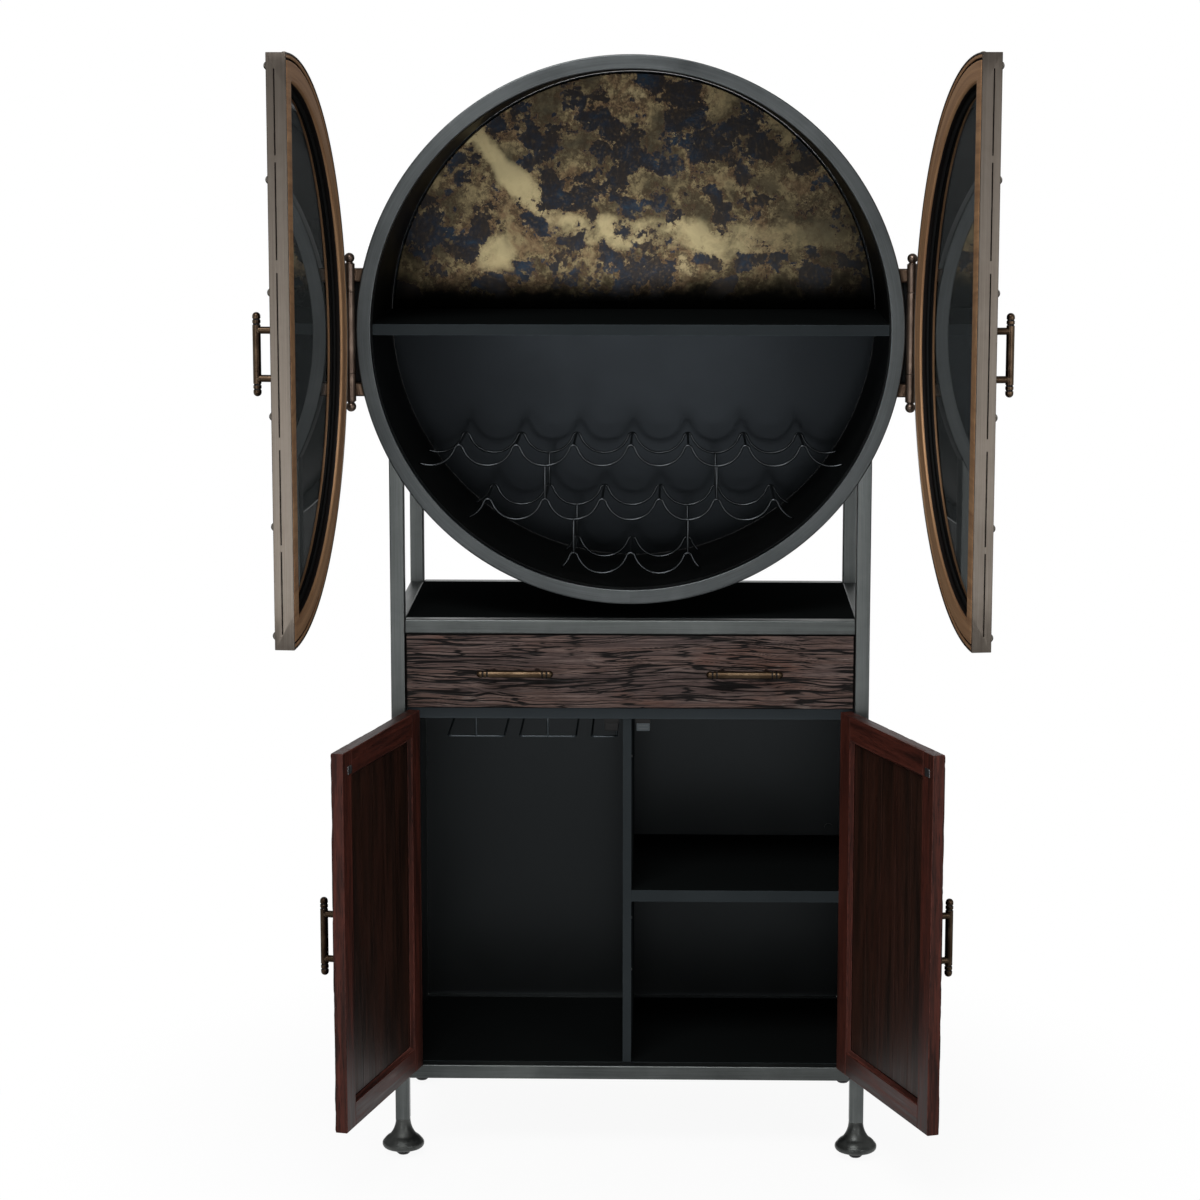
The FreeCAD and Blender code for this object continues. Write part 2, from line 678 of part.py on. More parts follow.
# Stemware rack: flat wire loops hung under the board on short stems
def wireLoop(low_x, high_x, low_y, high_y, bend, radius):
    """A closed rectangular loop with round corners, in the plane z = 0."""
    edges = []
    corners = [(low_x, low_y), (high_x, low_y), (high_x, high_y), (low_x, high_y)]
    ends = []
    for i, (x, y) in enumerate(corners):
        before = corners[i - 1]
        after = corners[(i + 1) % 4]
        here = FreeCAD.Vector(x, y, 0)
        to_before = (FreeCAD.Vector(*before, 0) - here).normalize() * bend
        to_after = (FreeCAD.Vector(*after, 0) - here).normalize() * bend
        middle = here + (to_before + to_after) * (1 - math.sqrt(0.5))
        ends.append((here + to_before, here + to_after))
        edges.append(Part.Arc(ends[-1][0], middle, ends[-1][1]).toShape())
    for i in range(4):
        edges.append(Part.LineSegment(ends[i][1], ends[(i + 1) % 4][0]).toShape())
    return pipe(Part.__sortEdges__(edges), radius)


stem_wire = size("stem_wire")
loop_z = bay_under - size("stem_drop")
loop_y = (size("loop_front"), back_front_y - size("loop_rear_gap"))
narrow_high = divider_left - size("loop_offset")
narrow_low = narrow_high - size("half_loop_width")
second_high = narrow_low - size("stem_slot")
second_low = second_high - size("loop_width")
first_high = second_low - size("stem_slot")
first_low = first_high - size("loop_width")
loops = []
loop_spans = (
    ("first", first_low, first_high, (first_low + first_high) / 2),
    ("second", second_low, second_high, (second_low + second_high) / 2),
    ("narrow", narrow_low, narrow_high, narrow_high),
)
for loop_name, low, high, stem_x in loop_spans:
    shape = wireLoop(low.number, high.number, loop_y[0].number, loop_y[1].number,
                     numbers["loop_bend"], stem_wire.number)
    loops.append(feature(f"{loop_name}_loop", shape))
    place(loops[-1], 0, 0, loop_z)
    inset = size("loop_bend") if loop_name == "narrow" else asSize(0)
    for end_name, end_y in (("front", loop_y[0] + inset), ("rear", loop_y[1] - inset)):
        loops.append(rod(f"{loop_name}_{end_name}_stem", stem_wire, size("stem_drop") - stem_wire,
                         (stem_x, end_y, loop_z + stem_wire)))
keep("stemware_rack", group("stemware_loops", loops))

# Magnetic catches under the board, one for each wood door
catch_front = size("wood_door_depth") + size("strike_depth") + size("catch_play")
left_catch_high = divider_left - size("catch_side_gap")
right_catch_low = divider_right + size("catch_side_gap")
catches = []
for side_name, span in (
    ("left", (left_catch_high - size("catch_width"), left_catch_high)),
    ("right", (right_catch_low, right_catch_low + size("catch_width"))),
):
    catches.append(block(f"{side_name}_catch", span, (catch_front, catch_front + size("catch_length")),
                         (bay_under - size("catch_height"), bay_under)))
keep("magnetic_catches", group("catch_pair", catches))

# Bell feet, one under each post, bored for the levelling studs
stud_bore = size("stud_radius") + size("running_gap")


def bellFoot(name, x, y):
    body = newBody(name)
    profile = newSketch(body, "XZ_Plane", f"{name}_profile")
    bore_top = size("sole_level") + size("stud_length") + size("glide_toe")
    lip = size("foot_flare") - size("lip_bend") / 2
    outline(profile, [
        (stud_bore, size("sole_level")),
        (size("sole_radius"), size("sole_level")),
        (lip, size("lip_bottom"), size("lip_bend"), 1),
        (lip, size("lip_top"), size("neck_bend"), -1),
        (size("foot_neck"), foot_top),
        (0, foot_top),
        (0, bore_top),
        (stud_bore, bore_top),
    ], "bell")
    revolve(body, profile, "V_Axis", f"{name}_turned")
    return place(body, x, y, 0)


foot_places = []
for side_name, side in sides:
    foot_x = (half_width - tube / 2) * side
    foot_places.append((f"front_{side_name}", foot_x, tube / 2))
    foot_places.append((f"rear_{side_name}", foot_x, depth - tube / 2))
keep("bell_feet", group("foot_set", [bellFoot(f"{name}_foot", x, y) for name, x, y in foot_places]))


# Levelling glides: a bevelled pad on a stud
def glide(name, x, y):
    body = newBody(name)
    profile = newSketch(body, "XZ_Plane", f"{name}_profile")
    pad_top = size("sole_level") - size("glide_gap")
    toe = size("glide_toe")
    outline(profile, [
        (0, 0),
        (size("glide_radius") - toe, 0),
        (size("glide_radius"), toe),
        (size("glide_radius"), pad_top),
        (size("stud_radius"), pad_top),
        (size("stud_radius"), pad_top + size("stud_length")),
        (0, pad_top + size("stud_length")),
    ], "glide")
    revolve(body, profile, "V_Axis", f"{name}_turned")
    place(body, x, y, 0)
    keep(name, body)


for name, x, y in foot_places:
    glide(f"{name}_glide", x, y)


# Handles: a bar with two grooves and a domed tip at each end, on two posts
def handle(name):
    """Bar along Z through the origin; the posts run to +Y and end on the face it is fixed to."""
    body = newBody(name)
    profile = newSketch(body, "XZ_Plane", f"{name}_profile")
    radius = size("grip_radius")
    half = size("grip_length") / 2
    tip = half - size("tip_length")
    outer_groove = tip - size("bead_groove")
    bead = outer_groove - size("bead_width")
    inner_groove = bead - size("bead_groove")
    neck = radius - size("bead_cut")
    upper = [
        (radius, inner_groove),
        (neck, inner_groove),
        (neck, bead),
        (radius, bead),
        (radius, outer_groove),
        (neck, outer_groove),
        (neck, tip),
        (radius, tip),
        (radius, half - radius, radius, 1),
    ]
    lower = [(corner[0], -corner[1]) for corner in reversed(upper[:-1])]
    outline(profile, [(0, -half, radius, 1), (radius, radius - half)] + lower + upper + [(0, half)], "bar")
    revolve(body, profile, "V_Axis", f"{name}_bar")
    feet = newSketch(body, "XZ_Plane", f"{name}_feet")
    spread = size("grip_posts") / 2
    circleAt(feet, 0, spread, size("post_radius"), "top")
    circleAt(feet, 0, -spread, size("post_radius"), "low")
    pad(body, feet, size("grip_reach"), f"{name}_posts", backwards=True)
    return body


# Half-round glass doors, closed against the ring's face and then swung about the hinge pin
pin_x = size("ring_radius") + size("barrel_gap") + size("barrel_radius")
door_back = size("door_back_gap")
door_radius = size("ring_radius") - size("door_reveal")
half_gap = size("meeting_gap") / 2


def swing(thing, side, angle, x=0, y=0, z=0):
    """Places a point of the closed door, given from the drum's centre, on the opened door."""
    from_pin_x = asSize(x) - pin_x * side
    turned_x = from_pin_x * cosine(angle) - asSize(y) * sine(angle) * side
    turned_y = from_pin_x * sine(angle) * side + asSize(y) * cosine(angle)
    turn(thing, angle * side)
    return place(thing, pin_x * side + turned_x, turned_y, ring_level + z)


def doorBody(name, side, layers, slot=None):
    """Layers of (outer inset, inner inset, near depth, far depth) between two half-round outlines."""
    body = newBody(name)
    for i, (outer, inner, near, far) in enumerate(layers):
        sketch = newSketch(body, "XZ_Plane", f"{name}_sketch_{i + 1}", near)
        halfRound(sketch, side, door_radius - outer, half_gap + outer, "out")
        if inner is not None:
            halfRound(sketch, side, door_radius - inner, half_gap + inner, "in")
        pad(body, sketch, far - near, f"{name}_layer_{i + 1}")
    if slot is not None:
        inset, near, far = slot
        sketch = newSketch(body, "XZ_Plane", f"{name}_slot_sketch", near)
        halfRound(sketch, side, door_radius - inset, half_gap + inset, "slot")
        pocket(body, sketch, far - near, f"{name}_slot", backwards=True)
    return body


def domeRivet(name, x, y, z):
    """A dome that stands proud towards -Y."""
    body = newBody(name)
    profile = newSketch(body, "XY_Plane", f"{name}_profile")
    rise = size("rivet_rise")
    radius = size("rivet_radius")
    ball = (radius * radius + rise * rise) / (rise * 2)
    outline(profile, [(0, 0), (0, -rise, ball, 1), (radius, 0)], "dome")
    revolve(body, profile, "V_Axis", f"{name}_dome")
    return place(body, x, y, z)


def seamSlots(name, side):
    """Shallow slots down the meeting edge, with metal left between them."""
    edge = half_gap * side
    deep = size("seam_depth") * side
    x = (edge, edge + deep) if side > 0 else (edge + deep, edge)
    middle_y = -door_back - size("seam_setback")
    y = (middle_y - size("seam_width") / 2, middle_y + size("seam_width") / 2)
    half = size("seam_middle") / 2
    next_low = half + size("seam_land")
    next_high = next_low + size("seam_next")
    upper = [(next_low, next_high), (next_high + size("seam_end_land"), door_radius - size("seam_stop"))]
    slots = [(-half, half)] + upper + [(-high, -low) for low, high in upper]
    return [block(f"{name}_{i + 1}", x, y, span) for i, span in enumerate(slots)]


def glassDoor(side_name, side):
    name = f"upper_{side_name}"
    angle = size(f"upper_{side_name}_angle")
    back = door_back
    front = door_back + size("door_depth")
    nothing = asSize(0)
    wall_in = size("rim_wall")
    inner_edge = size("moulding_band")
    rim = doorBody(f"{name}_rim_blank", side, [
        (nothing, wall_in, back, front),
        (nothing, size("rim_band"), front - wall_in, front),
    ])
    slots = fuse(f"{name}_seam_slots", seamSlots(f"{name}_seam", side))
    keep(f"{name}_rim", swing(cut(f"{name}_rim_slotted", rim, slots), side, angle))
    face = back + size("moulding_recess")
    moulding = doorBody(f"{name}_moulding_body", side, [
        (wall_in, inner_edge, back + size("groove_depth"), front - wall_in),
        (wall_in + size("groove_width"), inner_edge, face, back + size("groove_depth")),
    ])
    keep(f"{name}_moulding", swing(moulding, side, angle))
    pane_near = back + size("pane_setback")
    pane_far = pane_near + size("pane_depth")
    pane_inset = inner_edge + size("gasket_band") - size("glass_bite")
    lips = (size("gasket_depth") - size("pane_depth")) / 2
    gasket = doorBody(f"{name}_gasket_body", side, [
        (inner_edge, inner_edge + size("gasket_band"), pane_near - lips, pane_far + lips),
    ], (pane_inset, pane_near, pane_far))
    keep(f"{name}_gasket", swing(gasket, side, angle))
    pane = doorBody(f"{name}_glass_body", side, [(pane_inset, None, pane_near, pane_far)])
    keep(f"{name}_glass", swing(pane, side, angle))

    rivets = []
    inset = size("rivet_inset")
    rivet_pitch = (door_radius - size("rivet_end") - size("rivet_start")) / 2
    for end_name, end in (("upper", 1), ("lower", -1)):
        for i in range(3):
            level = (size("rivet_start") + rivet_pitch * i) * end
            rivets.append(domeRivet(f"{name}_{end_name}_stile_rivet_{i + 1}", (half_gap + inset) * side,
                                    -front, level))
        corner = 90 - size("corner_rivet_turn")
        spot = (cosine(corner) * side, sine(corner) * end)
        rivets.append(domeRivet(f"{name}_{end_name}_corner_rivet", door_radius * spot[0],
                                -(back + front) / 2, door_radius * spot[1]))
        outwards = FreeCAD.Vector(spot[0].number, 0, spot[1].number)
        rivets[-1].Placement.Rotation = FreeCAD.Rotation(FreeCAD.Vector(0, -1, 0), outwards)
    for i in range(-3, 4):
        around = size("arc_rivet_step") * i
        arm = door_radius - inset
        rivets.append(domeRivet(f"{name}_arc_rivet_{i + 4}", arm * cosine(around) * side, -front,
                                arm * sine(around)))
    keep(f"{name}_rivets", swing(group(f"{name}_rivet_set", rivets), side, angle))

    grip = handle(f"{name}_handle")
    grip_x = (half_gap + size("grip_inset")) * side
    keep(f"{name}_handle", swing(grip, side, angle, grip_x, -front - size("grip_reach")))

    # The door's half of the barrel hinge: a knuckle with a leaf that hugs the rim
    knuckle_length = size("door_knuckle") - size("barrel_split") * 2
    knuckle = rod(f"{name}_knuckle", size("barrel_radius"), knuckle_length,
                  (pin_x * side, 0, -knuckle_length / 2))
    leaf_outer = pin_x - size("leaf_wrap")
    leaf_blank = block(f"{name}_leaf_blank", across(side, leaf_outer - size("rim_band") / 2, leaf_outer),
                       (-front + size("rim_wall"), size("leaf_depth") - front + size("rim_wall")),
                       (-size("leaf_height") / 2, size("leaf_height") / 2))
    rim_clear = rod(f"{name}_rim_clear", door_radius + size("cope_gap"), front * 2, (0, -front * 2, 0), "Y")
    leaf = cut(f"{name}_leaf", leaf_blank, rim_clear)
    bored = rod(f"{name}_bore", size("pin_radius") + size("running_gap"), size("door_knuckle"),
                (pin_x * side, 0, -size("door_knuckle") / 2))
    hinge = cut(f"{name}_hinge_half", fuse(f"{name}_hinge_blank", [knuckle, leaf]), bored)
    keep(f"{name}_hinge_leaf", swing(hinge, side, angle))


for side_name, side in sides:
    glassDoor(side_name, side)


# The ring's half of the barrel hinges: two knuckles on tabs welded to the ring, a plate between the
# tabs behind the door's knuckle, and the pin
def ringHinge(side_name, side):
    name = f"{side_name}_ring_hinge"
    start = size("door_knuckle") / 2
    web_reach = size("tab_level") - size("tab_height") / 2
    web_blank = block(f"{name}_web_blank", across(side, ring_inner, pin_x),
                      (size("tab_depth") - size("web_depth"), size("tab_depth")), (-web_reach, web_reach))
    web_clear = rod(f"{name}_web_clear", size("ring_radius") + size("cope_gap"), tube, (0, 0, 0), "Y")
    solids = [cut(f"{name}_web", web_blank, web_clear)]
    for end_name, end in (("upper", 1), ("lower", -1)):
        low = start if end > 0 else -start - size("frame_knuckle")
        knuckle = rod(f"{name}_{end_name}_knuckle", size("barrel_radius"), size("frame_knuckle"),
                      (pin_x * side, 0, low))
        tab_mid = size("tab_level") * end
        tab_blank = block(f"{name}_{end_name}_tab_blank", across(side, ring_inner, pin_x),
                          (0, size("tab_depth")),
                          (tab_mid - size("tab_height") / 2, tab_mid + size("tab_height") / 2))
        ring_clear = rod(f"{name}_{end_name}_clear", size("ring_radius") + size("cope_gap"), tube,
                         (0, 0, 0), "Y")
        tab = cut(f"{name}_{end_name}_tab", tab_blank, ring_clear)
        bore = rod(f"{name}_{end_name}_bore", size("pin_radius") + size("running_gap"),
                   size("frame_knuckle"), (pin_x * side, 0, low))
        solids.append(cut(f"{name}_{end_name}", fuse(f"{name}_{end_name}_blank", [knuckle, tab]), bore))
    barrel_end = start + size("frame_knuckle")
    pin = newBody(f"{name}_pin")
    profile = newSketch(pin, "XZ_Plane", f"{name}_pin_profile")
    ball = size("finial_radius")
    neck = size("finial_neck")
    ball_centre = barrel_end + size("finial_rise")
    neck_rise = root(ball * ball - neck * neck)
    outline(profile, [
        (0, -ball_centre - ball, ball, 1),
        (neck, neck_rise - ball_centre),
        (neck, -barrel_end - size("barrel_split")),
        (size("pin_radius"), -barrel_end - size("barrel_split")),
        (size("pin_radius"), barrel_end + size("barrel_split")),
        (neck, barrel_end + size("barrel_split")),
        (neck, ball_centre - neck_rise, ball, 1),
        (0, ball_centre + ball),
    ], "pin")
    revolve(pin, profile, "V_Axis", f"{name}_pin_turned")
    place(pin, pin_x * side, 0, 0)
    return solids + [pin]


hinge_halves = []
for side_name, side in sides:
    hinge_halves += ringHinge(side_name, side)
hinge_set = group("ring_hinge_set", hinge_halves)
keep("ring_hinge_halves", place(hinge_set, 0, 0, ring_level))

# Framed wood doors, inset between the posts and swung about small butt hinges
wood_pin_x = inner_x - size("wood_side_gap") / 2
wood_pin_y = -size("butt_radius")
wood_low = base_level + size("wood_bottom_gap")
wood_high = bay_level + size("wood_top_rise")
wood_width = inner_x - size("wood_side_gap") - half_gap
wood_near = size("wood_side_gap") / 2
wood_front = size("butt_radius")


def woodSwing(thing, side, angle, x=0, y=0, z=0):
    """Places a point of the closed wood door, given from its hinge axis, on the opened door."""
    turned_x = asSize(x) * cosine(angle) - asSize(y) * sine(angle) * side
    turned_y = asSize(x) * sine(angle) * side + asSize(y) * cosine(angle)
    turn(thing, angle * side)
    return place(thing, wood_pin_x * side + turned_x, wood_pin_y + turned_y, z)


def woodDoor(side_name, side):
    name = f"lower_{side_name}"
    angle = size(f"lower_{side_name}_angle")
    stile = size("stile_width")
    far = wood_near + wood_width
    door_y = (wood_front, wood_front + size("wood_door_depth"))
    members = [
        block(f"{name}_free_stile", across(-side, far - stile, far), door_y, (wood_low, wood_high)),
        block(f"{name}_hinge_stile", across(-side, wood_near, wood_near + stile), door_y,
              (wood_low, wood_high)),
        block(f"{name}_bottom_rail", across(-side, wood_near + stile, far - stile), door_y,
              (wood_low, wood_low + stile)),
        block(f"{name}_top_rail", across(-side, wood_near + stile, far - stile), door_y,
              (wood_high - stile, wood_high)),
    ]
    keep(f"{name}_door_frame", woodSwing(group(f"{name}_frame_set", members), side, angle))

    panel_near = wood_front + size("plank_setback")
    panel = newBody(f"{name}_panel_body")
    sketch = newSketch(panel, "XZ_Plane", f"{name}_panel_sketch", -panel_near)
    rectangle(sketch, across(-side, wood_near + stile, far - stile),
              (wood_low + stile, wood_high - stile), "panel")
    pad(panel, sketch, size("plank_depth"), f"{name}_panel_board", backwards=True)
    keep(f"{name}_door_panel", woodSwing(panel, side, angle))

    grip_x = (wood_near + wood_width - size("wood_grip_inset")) * -side
    grip_y = wood_front - size("grip_reach")
    keep(f"{name}_handle", woodSwing(handle(f"{name}_handle"), side, angle, grip_x, grip_y,
                                     size("wood_grip_level")))

    # Strike plate where the closed door meets its magnetic catch
    catch_low = right_catch_low if side > 0 else -left_catch_high
    strike_middle = wood_pin_x - catch_low - size("catch_width") / 2
    strike_high = bay_under - size("catch_height") / 2 + size("strike_height") / 2
    half_strike = size("strike_width") / 2
    strike_x = across(-side, strike_middle - half_strike, strike_middle + half_strike)
    strike = block(f"{name}_strike_plate", strike_x, (door_y[1], door_y[1] + size("strike_depth")),
                   (strike_high - size("strike_height"), strike_high))
    keep(f"{name}_strike", woodSwing(group(f"{name}_strike_part", [strike]), side, angle))

    # Butt hinges: the door's leaf carries the middle knuckle, the post's leaf the two end ones
    third = size("butt_length") / 3
    radius = size("butt_radius")
    bore = size("butt_pin") + size("running_gap")
    door_halves = []
    post_halves = []
    for spot, middle in (("low", wood_low + size("butt_inset")), ("high", wood_high - size("butt_inset"))):
        low = middle - size("butt_length") / 2
        leaf_y = (0, wood_front + size("butt_reach"))
        leaf_z = (low, low + size("butt_length"))
        base = f"{name}_{spot}"
        door_leaf = block(f"{base}_door_leaf", across(-side, wood_near - size("butt_leaf"), wood_near),
                          leaf_y, leaf_z)
        door_knuckle = rod(f"{base}_door_knuckle", radius, third - size("barrel_split") * 2,
                           (0, 0, low + third + size("barrel_split")))
        slot_low = block(f"{base}_door_slot_low", (-radius, radius), (-radius, radius + size("barrel_split")),
                         (low, low + third + size("barrel_split")))
        slot_high = block(f"{base}_door_slot_high", (-radius, radius),
                          (-radius, radius + size("barrel_split")),
                          (low + third * 2 - size("barrel_split"), low + size("butt_length")))
        leaf_cut = cut(f"{base}_leaf_cut", door_leaf, fuse(f"{base}_door_slots", [slot_low, slot_high]))
        door_blank = fuse(f"{base}_door_blank", [leaf_cut, door_knuckle])
        door_bore = rod(f"{base}_door_bore", bore, size("butt_length"), (0, 0, low))
        door_halves.append(cut(f"{base}_door_half", door_blank, door_bore))

        post_leaf = block(f"{base}_post_leaf", across(side, wood_near - size("butt_leaf"), wood_near),
                          leaf_y, leaf_z)
        post_slot = block(f"{base}_post_slot", (-radius, radius), (-radius, radius + size("barrel_split")),
                          (low + third, low + third * 2))
        post_cut = cut(f"{base}_post_cut", post_leaf, post_slot)
        ends = [rod(f"{base}_post_knuckle_{i + 1}", radius, third, (0, 0, low + third * 2 * i))
                for i in range(2)]
        post_blank = fuse(f"{base}_post_blank", [post_cut] + ends)
        post_bore = rod(f"{base}_post_bore", bore, size("butt_length"), (0, 0, low))
        bored = cut(f"{base}_post_bored", post_blank, post_bore)
        pin = rod(f"{base}_pin", size("butt_pin"), size("butt_length"), (0, 0, low))
        post_halves += [bored, pin]
    keep(f"{name}_hinge_leaves", woodSwing(group(f"{name}_leaf_set", door_halves), side, angle))
    return place(group(f"{name}_post_leaves", post_halves), wood_pin_x * side, wood_pin_y, 0)


post_leaves = [woodDoor(side_name, side) for side_name, side in sides]
keep("post_hinge_leaves", group("post_leaf_set", post_leaves))

# Drawer: an inset front on a board box that runs on two ball runners
drawer_half = inner_x - size("drawer_gap")
drawer_low = bay_level + size("drawer_lift")
drawer_high = shelf_under - size("drawer_gap")
front_depth = size("drawer_front_depth")
keep("drawer_front", block("drawer_front_board", (-drawer_half, drawer_half), (0, front_depth),
                           (drawer_low, drawer_high)))
box_half = inner_x - size("runner_space")
box_low = bay_level + size("box_lift")
box_high = shelf_under - size("box_top_gap")
board = size("box_board")
box_rear = back_front_y - size("box_rear_gap")
box_walls = [
    block(f"drawer_{side_name}_side", across(side, box_half - board, box_half), (front_depth, box_rear),
          (box_low, box_high))
    for side_name, side in sides
]
box_walls.append(block("drawer_rear_board", (board - box_half, box_half - board),
                       (box_rear - board, box_rear), (box_low, box_high)))
keep("drawer_box", group("drawer_box_walls", box_walls))
keep("drawer_bottom", block("drawer_bottom_board", (board - box_half, box_half - board),
                            (front_depth, box_rear - board), (box_low, box_low + size("box_bottom"))))
member = (size("runner_space") - size("runner_gap")) / 2
runner_y = (size("runner_start"), rear_y - size("runner_rear_gap"))
runner_mid = (box_low + box_high) / 2
runner_z = (runner_mid - size("runner_height") / 2, runner_mid + size("runner_height") / 2)
keep("drawer_fixed_runners", group("fixed_runner_pair", [
    block(f"{side_name}_fixed_runner", across(side, inner_x - member, inner_x), runner_y, runner_z)
    for side_name, side in sides
]))
keep("drawer_moving_runners", group("moving_runner_pair", [
    block(f"{side_name}_moving_runner", across(side, box_half, box_half + member), runner_y, runner_z)
    for side_name, side in sides
]))
drawer_handles = []
for side_name, side in sides:
    grip = turn(handle(f"drawer_{side_name}_grip"), 90, (0, 1, 0))
    place(grip, size("drawer_grips") / 2 * side, -size("grip_reach"), (drawer_low + drawer_high) / 2)
    drawer_handles.append(grip)
keep("drawer_handles", group("drawer_handle_pair", drawer_handles))

# Build, check and write every sub-part
doc.recompute()
for thing in doc.Objects:
    if "Invalid" in thing.State or "Error" in thing.State:
        raise ValueError(f"{thing.Label} did not build")
    if thing.TypeId == "PartDesign::Pocket" and thing.Shape.Volume > thing.BaseFeature.Shape.Volume - 1:
        raise ValueError(f"{thing.Label} cut nothing")
for part in subparts:
    if part.Shape.isNull() or not part.Shape.isValid() or part.Shape.Volume <= 0:
        raise ValueError(f"{part.Label} has no sound shape")
for part in subparts:
    part.Shape.exportStep(f"parts/{part.Label}.step")
print(len(subparts), "sub-parts written")
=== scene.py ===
import json
import math

import bmesh
import bpy
from mathutils import Matrix, Vector, noise


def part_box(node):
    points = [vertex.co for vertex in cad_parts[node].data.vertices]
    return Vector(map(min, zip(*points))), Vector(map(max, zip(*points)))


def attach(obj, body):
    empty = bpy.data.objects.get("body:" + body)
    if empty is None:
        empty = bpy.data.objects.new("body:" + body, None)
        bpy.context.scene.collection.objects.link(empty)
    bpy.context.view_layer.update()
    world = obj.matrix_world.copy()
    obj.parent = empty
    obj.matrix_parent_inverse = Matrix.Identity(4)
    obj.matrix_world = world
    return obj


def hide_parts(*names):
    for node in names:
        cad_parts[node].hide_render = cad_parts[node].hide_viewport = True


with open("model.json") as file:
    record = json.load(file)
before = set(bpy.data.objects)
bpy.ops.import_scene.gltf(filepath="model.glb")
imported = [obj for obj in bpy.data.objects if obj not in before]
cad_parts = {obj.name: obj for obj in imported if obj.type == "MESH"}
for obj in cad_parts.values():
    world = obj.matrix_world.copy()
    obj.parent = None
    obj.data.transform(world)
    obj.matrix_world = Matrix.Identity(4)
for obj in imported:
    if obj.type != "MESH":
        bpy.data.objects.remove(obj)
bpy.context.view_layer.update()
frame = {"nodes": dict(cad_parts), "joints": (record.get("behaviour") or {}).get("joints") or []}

# Round bar cabinet: a steel drum with two half-round glass doors on a square-tube frame.
# Blender units are metres; numbers in the settings dictionaries are millimetres and degrees.
mm = 0.001
print("frame loaded:", len(frame["nodes"]), "nodes")

# Places that the frame gives, in metres
ringLow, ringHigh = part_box("front_ring")
drumLow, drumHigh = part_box("drum_shell")
mirrorLow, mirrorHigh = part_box("antique_mirror")
centreZ = (ringLow.z + ringHigh.z) / 2
ringRadius = (ringHigh.x - ringLow.x) / 2
drumRadius = (drumHigh.x - drumLow.x) / 2
tubeSize = ringHigh.y - ringLow.y
frontY = ringLow.y
joints = {joint["name"]: joint for joint in frame["joints"]}
sides = (("left", -1), ("right", 1))


def pick(look, keys):
    return [look[key] for key in keys.split()]


# Mesh tools
def bridge(mesh, rowA, rowB):
    faces = []
    for i in range(len(rowA)):
        j = (i + 1) % len(rowA)
        faces.append(mesh.faces.new((rowA[i], rowA[j], rowB[j], rowB[i])))
    return faces


def paint(faces, material):
    for face in faces:
        face.material_index = material


# A skin is a row of loops of points, bridged; capped at both ends unless the profile closes
def addSkin(mesh, loops, closedProfile=False):
    rows = [[mesh.verts.new(point) for point in loop] for loop in loops]
    pairs = list(zip(rows, rows[1:]))
    if closedProfile:
        pairs.append((rows[-1], rows[0]))
    faces = [face for rowA, rowB in pairs for face in bridge(mesh, rowA, rowB)]
    if not closedProfile:
        faces += [mesh.faces.new(rows[0][::-1]), mesh.faces.new(rows[-1])]
    return faces


def addLathe(mesh, profile, place, segments=32, closedProfile=False):
    turns = [math.tau * i / segments for i in range(segments)]
    loops = [[place @ Vector((radius * math.cos(t), radius * math.sin(t), along)) for t in turns]
             for radius, along in profile]
    return addSkin(mesh, loops, closedProfile)


def addBoard(mesh, low, high, bevel, steps=2, material=0):
    before = set(mesh.faces)
    low, high = Vector(low), Vector(high)
    corners = bmesh.ops.create_cube(mesh, size=1)["verts"]
    for corner in corners:
        share = corner.co + Vector((0.5, 0.5, 0.5))
        corner.co = [low[k] + (high[k] - low[k]) * share[k] for k in range(3)]
    edges = list(dict.fromkeys(edge for corner in corners for edge in corner.link_edges))
    bmesh.ops.bevel(mesh, geom=edges, offset=bevel, segments=steps, profile=0.5, affect="EDGES")
    paint([face for face in mesh.faces if face not in before], material)


def addTube(mesh, path, radius, up, around=10, closed=False):
    path, up = [Vector(point) for point in path], Vector(up)
    turns = [math.tau * k / around for k in range(around)]
    loops = []
    for i, point in enumerate(path):
        before = path[i - 1] if i or closed else point
        after = path[(i + 1) % len(path)] if i < len(path) - 1 or closed else point
        heading = (after - before).normalized()
        out = heading.cross(up).normalized()
        loops.append([point + (out * math.cos(t) + up * math.sin(t)) * radius for t in turns])
    addSkin(mesh, loops, closed)


# A closed outline whose corners (a, b, radius) are rounded
def rounded(corners, steps=3):
    points = []
    for i, corner in enumerate(corners):
        here = Vector(corner[:2])
        radius = corner[2] if len(corner) > 2 else 0
        if radius == 0:
            points.append(tuple(here))
            continue
        toBefore = (Vector(corners[i - 1][:2]) - here).normalized() * radius
        toAfter = (Vector(corners[(i + 1) % len(corners)][:2]) - here).normalized() * radius
        for k in range(steps + 1):
            t = k / steps
            points.append(tuple(here + toBefore * (1 - t) ** 2 + toAfter * t ** 2))
    return points


def roundedBox(low, high, radius=0, steps=3):
    corners = ((low[0], low[1]), (high[0], low[1]), (high[0], high[1]), (low[0], high[1]))
    return rounded([(a, b, radius) for a, b in corners], steps)


# Half the outline of a round bar or disc with soft edges, as (radius, along) points
def softDisc(radius, low, high, soft):
    return [(0, low), (radius - soft, low), (radius, low + soft), (radius, high - soft),
            (radius - soft, high), (0, high)]


def scaled(points):
    return [tuple(value * mm for value in point) for point in points]


def extent(points):
    return [[choose(point[k] for point in points) for k in range(3)] for choose in (min, max)]


def arcPoints(centreX, centreZ, radius, start, stop, steps):
    turns = [start + (stop - start) * k / steps for k in range(steps + 1)]
    return [(centreX + radius * math.cos(t), centreZ + radius * math.sin(t)) for t in turns]


